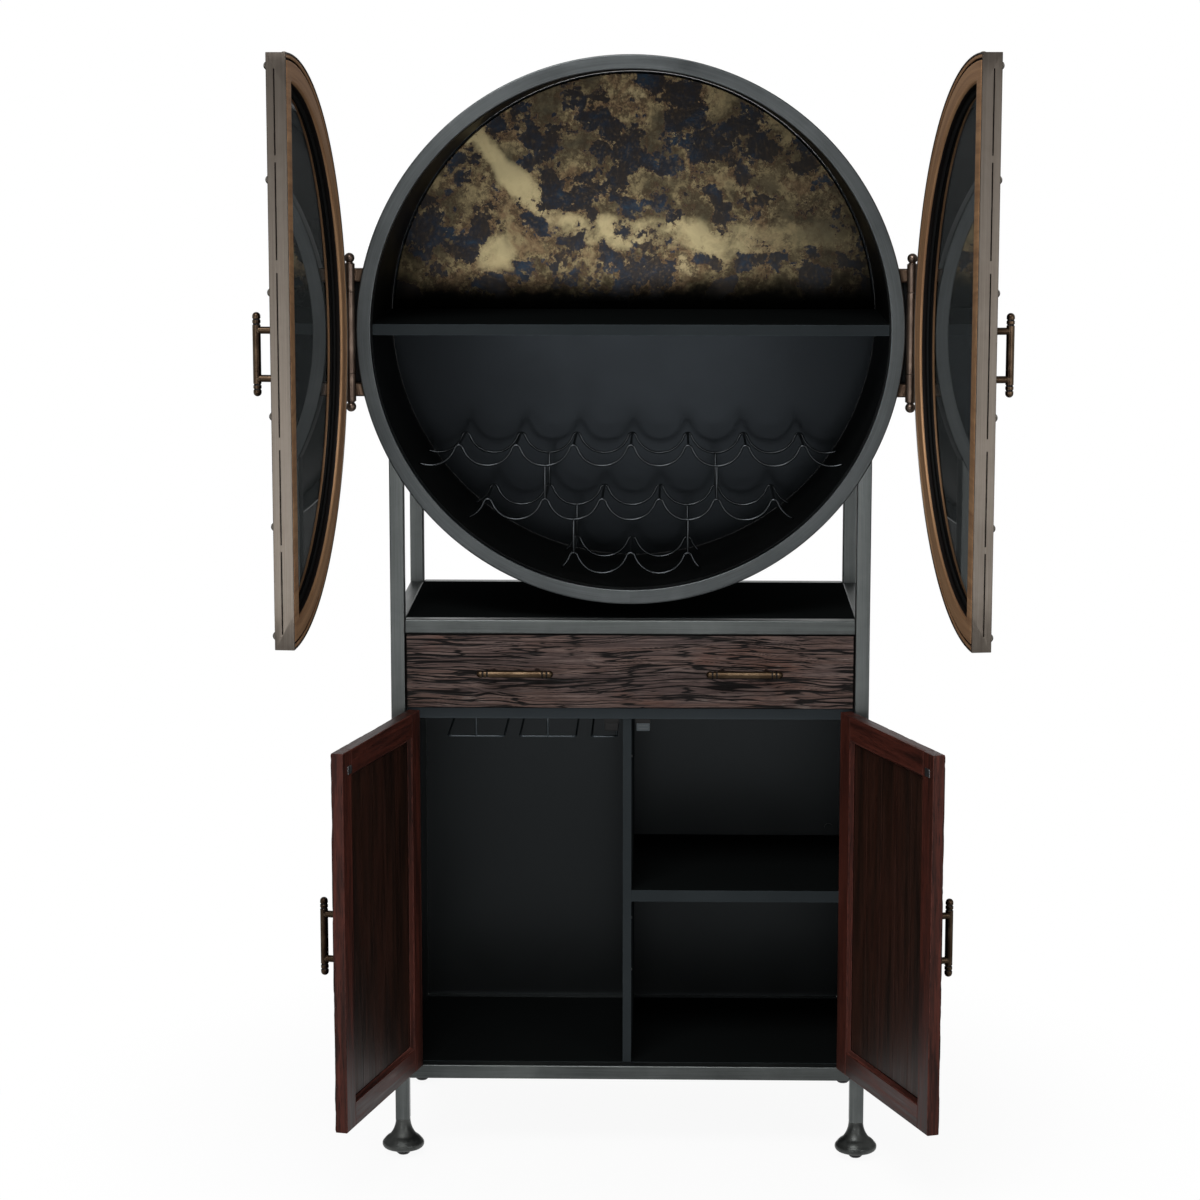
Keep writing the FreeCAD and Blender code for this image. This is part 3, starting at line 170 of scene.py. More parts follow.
# A half disc beside a chord, as (away from the chord's side, along the chord) points
def halfRound(radius, chord, arcSteps, chordSteps=16):
    end = math.acos(chord / radius)
    points = arcPoints(0, 0, radius, -end, end, arcSteps)
    rise = points[-1][1]
    return points + [(chord, rise * (1 - 2 * k / chordSteps)) for k in range(1, chordSteps)]


def addHalfRound(mesh, profile, radius, chord, spot, closedProfile=False, arcSteps=128):
    loops = [[spot(u, v, deep) for u, v in halfRound(radius - inset, chord + inset, arcSteps)]
             for inset, deep in profile]
    addSkin(mesh, loops, closedProfile)


def onAxis(origin, direction):
    return Matrix.Translation(Vector(origin)) @ Vector(direction).to_track_quat("Z", "Y").to_matrix().to_4x4()


def addObject(name, data):
    made = bpy.data.objects.new(name, data)
    bpy.context.scene.collection.objects.link(made)
    return made


def meshData(name, mesh, materials):
    data = bpy.data.meshes.new(name)
    mesh.to_mesh(data)
    mesh.free()
    for material in materials:
        data.materials.append(material)
    return data


# A piece is named after the frame node that it replaces: upper_left_rim gives upperLeftRim
def makePiece(node, mesh, materials, body, place=None):
    first, *others = node.split("_")
    name = first + "".join(word.capitalize() for word in others)
    bmesh.ops.remove_doubles(mesh, verts=mesh.verts, dist=1e-6)
    bmesh.ops.recalc_face_normals(mesh, faces=mesh.faces)
    data = meshData(name, mesh, materials)
    data.shade_smooth()
    piece = addObject(name, data)
    if place is not None:
        piece.matrix_world = place
    piece.modifiers.new("flats", "WEIGHTED_NORMAL").keep_sharp = True
    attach(piece, body)
    if node in frame["nodes"]:
        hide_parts(node)
    return piece


# A frame node that keeps its shape: softened edges and a finish
def dressNode(name, material, edge=0.8):
    piece = frame["nodes"][name]
    piece.data.materials.clear()
    piece.data.materials.append(material)
    piece.modifiers.new("weld", "WELD").merge_threshold = 0.00001
    soft = piece.modifiers.new("edges", "BEVEL")
    soft.width = edge * mm
    soft.segments = 2
    soft.limit_method = "ANGLE"
    soft.angle_limit = math.radians(35)
    soft.harden_normals = True


# Shader tools. A signal is a value in a node tree; arithmetic with signals makes Math nodes.
class signal:
    def __init__(self, socket):
        self.socket = socket
        self.tree = socket.id_data

    def __add__(self, other):
        return maths("ADD", self, other)

    def __sub__(self, other):
        return maths("SUBTRACT", self, other)

    def __rsub__(self, other):
        return maths("SUBTRACT", other, self)

    def __mul__(self, other):
        return maths("MULTIPLY", self, other)

    def __truediv__(self, other):
        return maths("DIVIDE", self, other)

    def __pow__(self, other):
        return maths("POWER", self, other)

    def __abs__(self):
        return maths("ABSOLUTE", self)


# From 0..255 to linear
def tone(red, green, blue):
    linear = [((c / 255 + 0.055) / 1.055) ** 2.4 if c > 10 else c / 255 / 12.92 for c in (red, green, blue)]
    return (*linear, 1)


# Signals become links; other values are set, and three numbers for a colour count 0..255
def feed(node, inputs):
    for key, value in inputs.items():
        socket = node.inputs[key]
        if isinstance(value, signal):
            node.id_data.links.new(value.socket, socket)
        elif socket.type == "RGBA" and len(value) == 3:
            socket.default_value = tone(*value)
        else:
            socket.default_value = value


def makeNode(tree, kind, inputs=None, **options):
    made = tree.nodes.new("ShaderNode" + kind)
    for name, value in options.items():
        setattr(made, name, value)
    feed(made, inputs or {})
    return made


def addNode(tree, kind, inputs=None, out=0, **options):
    return signal(makeNode(tree, kind, inputs, **options).outputs[out])


def outputs(node):
    return {socket.name: signal(socket) for socket in node.outputs}


def maths(operation, a, b=0.0):
    tree = a.tree if isinstance(a, signal) else b.tree
    return addNode(tree, "Math", {0: a, 1: b}, operation=operation)


def vectors(operation, a, b, c=(0, 0, 0), out=0):
    return addNode(a.tree, "VectorMath", {0: a, 1: b, 2: c}, out, operation=operation)


def stretch(vector, x, y, z):
    return vectors("MULTIPLY", vector, (x, y, z))


def axes(vector):
    return list(outputs(makeNode(vector.tree, "SeparateXYZ", {0: vector})).values())


def spread(value, fromLow, fromHigh, toLow=0.0, toHigh=1.0, smooth=False):
    return addNode(value.tree, "MapRange", {0: value, 1: fromLow, 2: fromHigh, 3: toLow, 4: toHigh},
                   interpolation_type="SMOOTHSTEP" if smooth else "LINEAR")


def cloud(vector, scale, detail, rough, warp=0.0):
    return addNode(vector.tree, "TexNoise", {"Vector": vector, "Scale": scale, "Detail": detail,
                                             "Roughness": rough, "Distortion": warp})


def blend(factor, a, b):
    return addNode(factor.tree, "Mix", {0: factor, 6: a, 7: b}, 2, data_type="RGBA")


def ramp(value, positions, tones):
    made = makeNode(value.tree, "ValToRGB", {0: value})
    stops = made.color_ramp.elements
    while len(stops) < len(positions):
        stops.new(0.5)
    for stop, position, shade in zip(stops, positions, tones):
        stop.position = position
        stop.color = tone(*shade)
    return signal(made.outputs[0])


def newGroup(name, inputs, results):
    tree = bpy.data.node_groups.new(name, "ShaderNodeTree")
    for direction, sockets in (("INPUT", inputs), ("OUTPUT", results)):
        for socketName, kind in sockets.items():
            tree.interface.new_socket(name=socketName, in_out=direction, socket_type="NodeSocket" + kind)
    return tree, outputs(tree.nodes.new("NodeGroupInput")), tree.nodes.new("NodeGroupOutput")


def useGroup(tree, group, inputs):
    return outputs(makeNode(tree, "Group", inputs, node_tree=group))


def newMaterial(name, **constants):
    material = bpy.data.materials.new(name)
    material.use_nodes = True
    tree = material.node_tree
    feed(tree.nodes["Principled BSDF"], {key.replace("_", " "): value for key, value in constants.items()})
    return material, tree


# Joins a finish to the shader; the bump has its depth in millimetres
def surface(material, color, roughness, height=None, deep=0.2, strength=1.0):
    inputs = {"Base Color": color, "Roughness": roughness}
    if height:
        inputs["Normal"] = addNode(color.tree, "Bump", {"Height": height, "Distance": deep * mm,
                                                        "Strength": strength})
    feed(color.tree.nodes["Principled BSDF"], inputs)
    return material


def ownPlace(tree):
    return addNode(tree, "TexCoord", out="Object")


def ownNormal(tree):
    return axes(addNode(tree, "TexCoord", out="Normal"))


# Shared effects
# Edge mask: 1 on outside corners, broken up by a fine cloud; it lays on wear, and on steel and black paint
# also painted shade and painted highlights
edgeMask, given, result = newGroup("edge wear", {"Radius": "Float", "Breakup": "Float"}, {"Mask": "Float"})
bent = addNode(edgeMask, "Bevel", {"Radius": given["Radius"]}, samples=4)
straight = addNode(edgeMask, "NewGeometry", out="Normal")
turned = vectors("DOT_PRODUCT", bent, straight, out="Value")
specks = cloud(ownPlace(edgeMask), given["Breakup"], 4, 0.6)
feed(result, {"Mask": spread(turned, 0.995, 0.9) * spread(specks, 0.35, 0.6)})

# Ring coordinates: along the ring, across it, and its depth
ringPlace, given, result = newGroup("ring coordinates", {"Vector": "Vector"}, {"Vector": "Vector"})
x, y, z = axes(given["Vector"])
up = z - centreZ
along = maths("ARCTAN2", x, up) * ringRadius
reach = maths("SQRT", x ** 2.0 + up ** 2.0)
feed(result, {"Vector": addNode(ringPlace, "CombineXYZ", {0: along, 1: reach, 2: y})})

# Brushed marks: fine scratches along the vector's X, and wide blotches of oil and heat
brushed, given, result = newGroup("brushed marks", {"Vector": "Vector", "Dark": "Color", "Light": "Color"},
                                  {"Color": "Color", "Roughness": "Float", "Height": "Float"})
scratch = cloud(stretch(given["Vector"], 9, 1500, 1500), 1, 3, 0.6)
broad = cloud(stretch(given["Vector"], 2, 160, 160), 1, 2, 0.5)
blotch = cloud(given["Vector"], 7, 5, 0.6, 0.4)
share = scratch * 0.45 + (broad * 0.2 + blotch * 0.55)
feed(result, {"Color": blend(spread(share, 0.38, 0.82), given["Dark"], given["Light"]),
              "Roughness": spread(scratch + blotch, 0.7, 1.3, 0.3, 0.5), "Height": scratch})

# Wood grain along the vector's X: bands, streaks and pores
woodGrain, given, result = newGroup("wood grain", {"Vector": "Vector", "Seed": "Float"},
                                    {"Band": "Float", "Streak": "Float", "Pore": "Float"})
moved = vectors("ADD", given["Vector"], given["Seed"])
feed(result, {"Band": cloud(stretch(moved, 2.2, 26, 26), 1, 4, 0.55, 0.8),
              "Streak": cloud(stretch(moved, 7, 210, 210), 1, 3, 0.6, 0.3),
              "Pore": cloud(stretch(moved, 45, 900, 900), 1, 2, 0.5)})


# Turns the object's own place so that X runs along the grain or the brushing
def alongAxis(tree, axis):
    place = ownPlace(tree)
    if axis == "ring":
        return useGroup(tree, ringPlace, {"Vector": place})["Vector"]
    parts = dict(zip("xyz", axes(place)))
    order = {"x": "xyz", "y": "yxz", "z": "zxy"}[axis]
    return addNode(tree, "CombineXYZ", {i: parts[letter] for i, letter in enumerate(order)})


def grainOf(tree, axis, seed):
    return useGroup(tree, woodGrain, {"Vector": alongAxis(tree, axis), "Seed": seed}).values()


def edgeWearAndPaintedLight(color, radius, share, edge, breakup=60.0):
    worn = useGroup(color.tree, edgeMask, {"Radius": radius * mm, "Breakup": breakup})["Mask"]
    return blend(worn * share, color, edge)


# Materials. Tones count 0..255; a cloud's first number is its scale in cycles to the metre.
# The dark edge tones of the steel and the rim are painted shade; the ring's pale edge tone is a painted
# highlight
steelLook = {"dark": (66, 69, 69), "light": (118, 122, 121), "edge": (38, 40, 40), "wear": 0.7, "dull": 0.0}
# The rails and the ring are darker copies of the same steel: painted shade
shadedRailLook = dict(steelLook, dark=(61, 64, 64), light=(110, 114, 113))
shadedRingLook = dict(steelLook, dark=(56, 59, 60), light=(102, 106, 107), edge=(124, 131, 133), wear=0.45)
rimLook = {"dark": (94, 86, 78), "light": (152, 143, 133), "edge": (46, 41, 37), "wear": 0.7, "dull": 0.72}


# Steel is painted darker towards the top, from below the drum's centre to its top, with its edge tone:
# painted shade
def steelMaterial(name, axis, look):
    material, tree = newMaterial(name, Metallic=1.0)
    marks = useGroup(tree, brushed, {"Vector": alongAxis(tree, axis), "Dark": look["dark"],
                                     "Light": look["light"]})
    color = edgeWearAndPaintedLight(marks["Color"], 1.8, look["wear"], look["edge"])
    level = axes(ownPlace(tree))[2] - centreZ
    color = blend(spread(level, -0.3, 0.5, 0, look["dull"]), color, look["edge"])
    return surface(material, color, marks["Roughness"], marks["Height"], 0.02, 0.5)


# Black paint: the top tone darkens upward faces as painted shade; the edge tone lightens the edges, partly
# wear and partly a painted highlight
def blackMaterial(name, shade, gloss, level, edge, tint=(1, 1, 1, 1), top=None):
    material, tree = newMaterial(name, Specular_IOR_Level=level, Specular_Tint=tint)
    place = ownPlace(tree)
    haze = cloud(place, 5, 4, 0.55, 0.3)
    color = blend(spread(haze, 0.35, 0.7), shade, [c + 5 for c in shade])
    if top:
        color = blend(spread(ownNormal(tree)[2], 0.4, 0.9), color, top)
    color = edgeWearAndPaintedLight(color, 1.2, 0.5, edge)
    rough = spread(haze, 0.3, 0.75, gloss - 0.02, gloss + 0.03)
    return surface(material, color, rough, cloud(place, 900, 2, 0.5), 0.02, 0.35)


# Bronze, painted lighter on the side away from the door (-Y of the closed door) as a painted highlight; the
# last argument says how much brighter
def bronzeMaterial(name, dark, middle, light, paintedHighlight=0.62):
    material, tree = newMaterial(name, Metallic=1.0)
    place = ownPlace(tree)
    outward = spread(ownNormal(tree)[1], 0.25, -0.95)
    patina = cloud(place, 30, 4, 0.6, 0.4)
    rub = cloud(place, 220, 3, 0.6)
    share = outward * paintedHighlight + patina * 0.5 + (0.62 - paintedHighlight) * 0.45
    color = ramp(share, (0.22, 0.5, 0.86), (dark, middle, light))
    color = edgeWearAndPaintedLight(color, 1.2, 0.4, light, 150.0)
    return surface(material, color, spread(patina + rub, 0.7, 1.3, 0.4, 0.28), rub, 0.03, 0.3)


def mouldingMaterial():
    material, tree = newMaterial("bronzed moulding", Metallic=0.55, Specular_IOR_Level=0.4)
    vector = alongAxis(tree, "ring")
    fleck = cloud(vector, 420, 4, 0.7)
    wash = cloud(stretch(vector, 3, 90, 90), 1, 4, 0.6, 0.5)
    color = blend(spread(wash, 0.35, 0.68), (142, 106, 76), (178, 139, 102))
    color = blend(spread(fleck, 0.55, 0.72, 0, 0.45), color, (82, 57, 40))
    openness = addNode(tree, "AmbientOcclusion", {"Distance": 0.009}, "AO", samples=6, only_local=True)
    color = blend(spread(openness, 0.45, 0.85, 0.9, 0), color, (44, 26, 16))
    return surface(material, color, spread(fleck, 0.3, 0.7, 0.42, 0.6), fleck, 0.12, 0.5)


# Silvering gone in blooms: granular dark islands with blue hearts in clouded gold, pale rivers between
# them, and a black margin of painted shade along the foot and the sides. Places in metres.
mirrorLook = {"islands": 14.5, "cells": 20, "grains": 120, "drops": 62, "riverLevel": 0.132,
              "riverFall": 0.92, "riverTurn": -0.1, "riverWidth": 0.024, "pool": (-0.262, 0.1),
              "poolSize": 0.045, "heart": (-0.03, 0.25), "footFade": (0.016, 0.082),
              "sideFade": (0.004, 0.085),
              "gold": ((58, 55, 45), (84, 76, 58), (124, 112, 84), (98, 80, 60), (140, 127, 97)),
              "night": ((40, 36, 33), (35, 34, 35), (33, 37, 44), (34, 47, 59)), "fleck": (52, 44, 35),
              "river": (178, 165, 126), "halo": (92, 70, 51), "tan": (80, 68, 52), "shade": (24, 23, 20),
              "dead": (8, 8, 7)}


# How far a place lies from a spot on the mirror, stretched each way
def mirrorDistance(vector, x, up, wide, tall):
    moved = vectors("ADD", vector, (-x, 0, -mirrorLow.z - up))
    return vectors("LENGTH", stretch(moved, wide, 0, tall), (0, 0, 0), out="Value")


def mirrorMaterial():
    look = mirrorLook
    material, tree = newMaterial("foxed mirror", Metallic=1.0)
    place = ownPlace(tree)
    swirl = addNode(tree, "TexNoise", {"Vector": place, "Scale": 8.0, "Detail": 7.0}, "Color")
    bent = vectors("MULTIPLY_ADD", vectors("SUBTRACT", swirl, (0.5, 0.5, 0.5)), (0.11, 0.11, 0.11), place)
    patch = cloud(place, look["islands"], 15, 0.72, 0.15)
    cells, drops = [addNode(tree, "TexVoronoi", {"Vector": bent, "Scale": scale})
                    for scale in pick(look, "cells drops")]
    grains = cloud(place, look["grains"], 8, 0.8)

    # The pale river falls to the left and ends in a pool
    bentX, bentZ = axes(bent)[::2]
    fall = maths("MAXIMUM", look["riverTurn"] - bentX, 0.0)
    off = (bentZ - (fall * look["riverFall"] + (mirrorLow.z + look["riverLevel"]))) / look["riverWidth"]
    pool = mirrorDistance(bent, *look["pool"], 1, 1)
    river = maths("MAXIMUM", spread(off * off, 2.2, 0.0, smooth=True),
                  spread(pool, look["poolSize"], look["poolSize"] * 0.3, smooth=True))
    river = river * spread(cloud(bent, 11, 6, 0.6), 0.36, 0.53, 0.2)
    river = river * spread(bentX, 0.14, 0.3, 1.0, 0.3)

    # Foxing: islands where it passes the threshold, most of them round the heart
    heart = mirrorDistance(place, *look["heart"], 3.2, 6.5)
    foxed = patch + (0.45 - cells) * 0.26 + (grains - 0.5) * 0.15
    foxed = foxed + spread(drops, 0.34, 0.16, -0.004, 0.04, smooth=True) - river * 0.13
    foxed = foxed + spread(heart, 0.3, 1.3, 0.035, -0.005, smooth=True)
    dark = spread(foxed, 0.482, 0.51)

    goldMix = cloud(bent, 10, 8, 0.62)
    gold = ramp(goldMix, (0.36, 0.45, 0.52, 0.59, 0.68), look["gold"])
    fleck = spread(foxed, 0.33, 0.44) * spread(grains, 0.46, 0.51)
    gold = blend(fleck * 0.85, gold, look["fleck"])
    gold = blend(river * 0.62, gold, look["river"])
    halo = spread(foxed, 0.462, 0.486) * spread(grains, 0.42, 0.56, 0.1, 0.6)
    gold = blend(halo, gold, look["halo"])
    night = ramp(cloud(bent, 17, 10, 0.72), (0.38, 0.48, 0.56, 0.66), look["night"])
    tan = spread(cloud(place, 150, 6, 0.75), 0.54, 0.6)
    night = blend(tan * 0.45, night, look["tan"])
    color = blend(dark, gold, night)

    x, z = axes(place)[::2]
    # Darker towards the right side: painted shade
    color = blend(spread(x, 0.06, 0.38, 0, 0.55), color, look["shade"])
    # A ragged black margin along the foot and the sides: painted shade
    ragged = (patch - 0.5) * 0.12
    aboveFoot = z - mirrorLow.z + ragged
    fromSide = mirrorHigh.x - abs(x) + ragged
    outsideShadedMargin = (spread(aboveFoot, *look["footFade"], smooth=True)
             * spread(fromSide, *look["sideFade"], 0.25, 1.0, smooth=True))
    color = blend(outsideShadedMargin, look["dead"], color)
    rough = spread(goldMix + dark, 0.4, 1.5, 0.3, 0.24)
    return surface(material, color, rough, cloud(place, 30, 3, 0.5), 0.05, 0.15)


# Smoked glass, painted darker when seen slanting and clearer face on: painted shade
glassLook = {"faceOn": (0.42, 0.44, 0.43, 1), "slanting": (0.002, 0.0024, 0.0025, 1)}


def glassMaterial():
    material, tree = newMaterial("smoked glass", Transmission_Weight=1.0, IOR=1.5, Specular_IOR_Level=0.58)
    slant = addNode(tree, "LayerWeight", {"Blend": 0.5}, "Facing")
    color = blend(spread(slant, 0.06, 0.45), glassLook["faceOn"], glassLook["slanting"])
    return surface(material, color, spread(cloud(ownPlace(tree), 9, 3, 0.5), 0.4, 0.7, 0.01, 0.04))


def castMaterial():
    material, tree = newMaterial("cast feet", Metallic=0.85)
    place = ownPlace(tree)
    haze = cloud(place, 24, 4, 0.6)
    color = blend(spread(haze, 0.35, 0.7), (50, 52, 51), (88, 90, 88))
    color = edgeWearAndPaintedLight(color, 3.0, 0.4, (136, 138, 134))
    return surface(material, color, spread(haze, 0.3, 0.7, 0.34, 0.48), cloud(place, 340, 4, 0.7), 0.12, 0.4)


# Two tones in a cloud, and a fine bump; haze and grain are the scale and detail of their clouds
def plainMaterial(name, shadeA, shadeB, rough, haze, grain, bump, **constants):
    material, tree = newMaterial(name, **constants)
    place = ownPlace(tree)
    mist = cloud(place, *haze, 0.6)
    return surface(material, blend(mist, shadeA, shadeB), spread(mist, 0.3, 0.7, *rough),
                   cloud(place, *grain, 0.6), *bump)


def plainMetal(name, shadeA, shadeB, *rough):
    return plainMaterial(name, shadeA, shadeB, rough, (60, 4), (420, 3), (0.03, 0.4), Metallic=1.0)


def plasticMaterial(name, shade):
    return plainMaterial(name, shade, [c + 8 for c in shade], (0.45, 0.6), (700, 3), (700, 3), (0.03, 0.3),
                         Specular_IOR_Level=0.3)


redStain = ((28, 15, 12), (44, 22, 17), (62, 29, 22), (40, 20, 16), (88, 42, 32))
brownStain = ((20, 12, 8), (31, 18, 12), (43, 23, 16), (29, 16, 11), (58, 34, 25))


def stainedWood(name, axis, seed, tones=redStain):
    material, tree = newMaterial(name, Specular_IOR_Level=0.16)
    band, streak, pore = grainOf(tree, axis, seed)
    color = ramp(band, (0.34, 0.48, 0.58, 0.7), tones)
    color = blend(spread(streak, 0.45, 0.75, 0, 0.6), color, tones[4])
    color = blend(spread(pore, 0.54, 0.7, 0, 0.8), color, (14, 9, 8))
    color = edgeWearAndPaintedLight(color, 2.2, 0.45, (120, 66, 56), 90.0)
    return surface(material, color, spread(streak, 0.3, 0.7, 0.38, 0.55), streak + pore, 0.25, 0.5)


# Weathered wood: the grooves, read from how far a point lies behind the face, are painted near black as
# painted shade
def weatheredWood(name, axis, faceY, deepest, cut=(0.2, 0.6)):
    material, tree = newMaterial(name, Specular_IOR_Level=0.15)
    place = ownPlace(tree)
    band, streak, pore = grainOf(tree, axis, 3.7)
    color = ramp(band, (0.32, 0.45, 0.56, 0.68), ((51, 40, 38), (68, 55, 52), (78, 61, 55), (59, 48, 46)))
    color = blend(spread(streak, 0.46, 0.7, 0, 0.7), color, (106, 92, 87))
    patch = spread(cloud(stretch(place, 3, 9, 9), 1, 4, 0.6, 0.5), 0.52, 0.68)
    color = blend(patch * 0.5, color, (86, 50, 34))
    pale = spread(cloud(stretch(place, 9, 30, 30), 1, 5, 0.65, 0.4), 0.62, 0.74)
    color = blend(pale * 0.5, color, (134, 126, 120))
    color = blend(spread(pore, 0.5, 0.66, 0, 0.5), color, (24, 17, 15))
    # Near black in the grooves: painted shade
    sunk = spread(axes(place)[1] - faceY, cut[0] * deepest, cut[1] * deepest)
    color = blend(sunk, color, (12, 8, 7))
    return surface(material, color, spread(streak, 0.3, 0.7, 0.55, 0.75), streak + pore, 0.4, 0.6)


def boxWood(name, axis):
    material, tree = newMaterial(name, Specular_IOR_Level=0.35)
    band, streak, pore = grainOf(tree, axis, 9.1)
    color = blend(band, (128, 100, 70), (172, 142, 104))
    color = blend(spread(pore, 0.52, 0.7, 0, 0.5), color, (88, 64, 42))
    return surface(material, color, spread(streak, 0.3, 0.7, 0.5, 0.65), streak, 0.15, 0.4)


steel = {axis: steelMaterial(f"brushed steel {axis}", axis, look) for axis, look in
         (("x", shadedRailLook), ("y", shadedRailLook), ("z", steelLook), ("ring", shadedRingLook))}
rimSteel = {axis: steelMaterial(f"door rim steel {axis}", axis, rimLook) for axis in ("z", "ring")}
enamel = blackMaterial("black enamel", (4, 5, 5), 0.21, 0.13, (50, 56, 58), (0.76, 0.88, 1, 1))
sheetEnamel = blackMaterial("black sheet enamel", (8, 9, 9), 0.3, 0.4, (50, 56, 58), (0.86, 0.95, 1, 1))
wallPaint = blackMaterial("black wall paint", (7, 8, 8), 0.5, 0.06, (40, 44, 46))
# Board tops take a darker top tone than the fronts: painted shade
blackBoard = blackMaterial("black board", (36, 40, 42), 0.6, 0.0, (84, 94, 98), top=(16, 18, 18))
# A lighter copy of the black board for the bay floor: painted light
litBayBoard = blackMaterial("black board with painted light", (50, 55, 58), 0.6, 0.0, (90, 98, 102), top=(16, 18, 18))
blackWire = blackMaterial("black wire", (5, 6, 6), 0.2, 0.7, (12, 13, 14), (0.85, 0.93, 1, 1))
greyWire = blackMaterial("grey wire", (38, 44, 47), 0.24, 0.7, (60, 66, 70), (0.85, 0.93, 1, 1))
bronze = bronzeMaterial("antique bronze", (40, 30, 23), (92, 75, 59), (158, 138, 114))
drawerBronze = bronzeMaterial("drawer bronze", (24, 18, 13), (66, 52, 39), (116, 98, 77), 0.12)
hingeBronze = bronzeMaterial("hinge bronze", (58, 48, 42), (98, 84, 75), (150, 132, 118), 0.0)
shadedTabBronze = bronzeMaterial("shaded tab bronze", (40, 31, 26), (72, 58, 48), (112, 94, 78), 0.0)
groovePaint = blackMaterial("groove paint", (14, 10, 9), 0.5, 0.2, (40, 32, 26))
slotShade = blackMaterial("slot shade", (18, 13, 12), 0.6, 0.0, (30, 24, 22))
moulding = mouldingMaterial()
mirror = mirrorMaterial()
glass = glassMaterial()
rubber = plainMaterial("gasket rubber", (10, 10, 10), (20, 20, 20), (0.6, 0.8), (500, 3), (500, 3),
                       (0.05, 0.4), Specular_IOR_Level=0.08)
castIron = castMaterial()
rivetSteel = plainMetal("rivet steel", (158, 150, 140), (206, 198, 188), 0.18, 0.32)
zinc = plainMetal("zinc plate", (150, 152, 156), (186, 188, 190), 0.28, 0.42)
nylon = plasticMaterial("glide nylon", (20, 20, 21))
catchGrey = plasticMaterial("catch plastic", (54, 60, 63))
catchBlack = plasticMaterial("black catch plastic", (5, 5, 5))
catchPole = plainMetal("pole plate", (70, 73, 74), (92, 95, 96), 0.34, 0.48)
print("materials made:", len(bpy.data.materials))

# Frame: rolled rings, coped posts and rails of 25 mm square tube
tubeLook = {"corner": 2.4, "copeGap": 0.2, "around": 240}
tubeCorner = tubeLook["corner"] * mm
for node in ("front_ring", "rear_ring"):
    low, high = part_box(node)
    radius = (high.x - low.x) / 2
    mesh = bmesh.new()
    addLathe(mesh, roundedBox((radius - tubeSize, 0), (radius, tubeSize), tubeCorner),
             onAxis((0, low.y, centreZ), (0, 1, 0)), tubeLook["around"], True)
    makePiece(node, mesh, [steel["ring"]], "root")

reach = ringRadius + tubeLook["copeGap"] * mm
for end in ("front", "rear"):
    for sideName, side in sides:
        node = f"{end}_{sideName}_post"
        low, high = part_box(node)
        outline = roundedBox(low, high, tubeCorner)
        mesh = bmesh.new()
        addSkin(mesh, [[(x, y, low.z) for x, y in outline],
                       [(x, y, centreZ - math.sqrt(reach ** 2 - x ** 2)) for x, y in outline]])
        makePiece(node, mesh, [steel["z"]], "root")

for node in ("shelf_rails", "base_rails"):
    low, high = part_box(node)
    inner = high.x - tubeSize
    mesh = bmesh.new()
    near, far = low.y + tubeSize, high.y - tubeSize
    for y in (low.y, far):
        addBoard(mesh, (-inner, y, low.z), (inner, y + tubeSize, high.z), tubeCorner, 3, 0)
    for x in (low.x, inner):
        addBoard(mesh, (x, near, low.z), (x + tubeSize, far, high.z), tubeCorner, 3, 1)
    makePiece(node, mesh, [steel["x"], steel["y"]], "root")
print("frame tubes made")

# Drum: rolled shell, back panel, mirror
drumLook = {"wall": 2, "lip": 0.5, "mirrorMargin": 3, "mirrorEdge": 2.4, "mirrorEdgeDepth": 0.9}
drumInner = drumRadius - drumLook["wall"] * mm
drumAxis = onAxis((0, 0, centreZ), (0, 1, 0))
lip, edge, edgeDepth = [size * mm for size in pick(drumLook, "lip mirrorEdge mirrorEdgeDepth")]
mesh = bmesh.new()
addLathe(mesh, roundedBox((drumInner, drumLow.y), (drumRadius, drumHigh.y), lip, 1), drumAxis, 240, True)
makePiece("drum_shell", mesh, [wallPaint], "root")

mesh = bmesh.new()
panelLow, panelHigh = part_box("drum_back_panel")
addLathe(mesh, softDisc((panelHigh.x - panelLow.x) / 2, panelLow.y, panelHigh.y, lip), drumAxis, 192)
makePiece("drum_back_panel", mesh, [enamel], "root")

mesh = bmesh.new()
addHalfRound(mesh, [(edge, 0), (0, edgeDepth), (0, mirrorHigh.y - mirrorLow.y)],
             drumInner - drumLook["mirrorMargin"] * mm, mirrorLow.z - centreZ,
             lambda u, v, deep: (v, mirrorLow.y + deep, centreZ + u), arcSteps=160)
makePiece("antique_mirror", mesh, [mirror], "root")
dressNode("drum_shelf", blackBoard, 1.2)
print("drum made")

# Wine rack: scalloped wires in two rows, cross rods at the peaks and struts between the tiers
rackLook = {"wire": 2.2, "pitch": 100.5, "rise": 36, "bend": 7, "tierDrop": 95, "drop": 240.5, "play": 0.3,
            "peakCounts": (7, 6, 3), "struts": (3, 2), "weld": 3.1}
rackLow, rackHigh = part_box("wine_rack_waves")
wire = rackLook["wire"] * mm
halfPitch = rackLook["pitch"] / 2 * mm
rise, bend = rackLook["rise"] * mm, rackLook["bend"] * mm
hang = (rise ** 2 + halfPitch ** 2) / (2 * rise) - bend
slope = math.atan2(hang + bend - rise, halfPitch)
wireReach = drumInner - wire - rackLook["play"] * mm


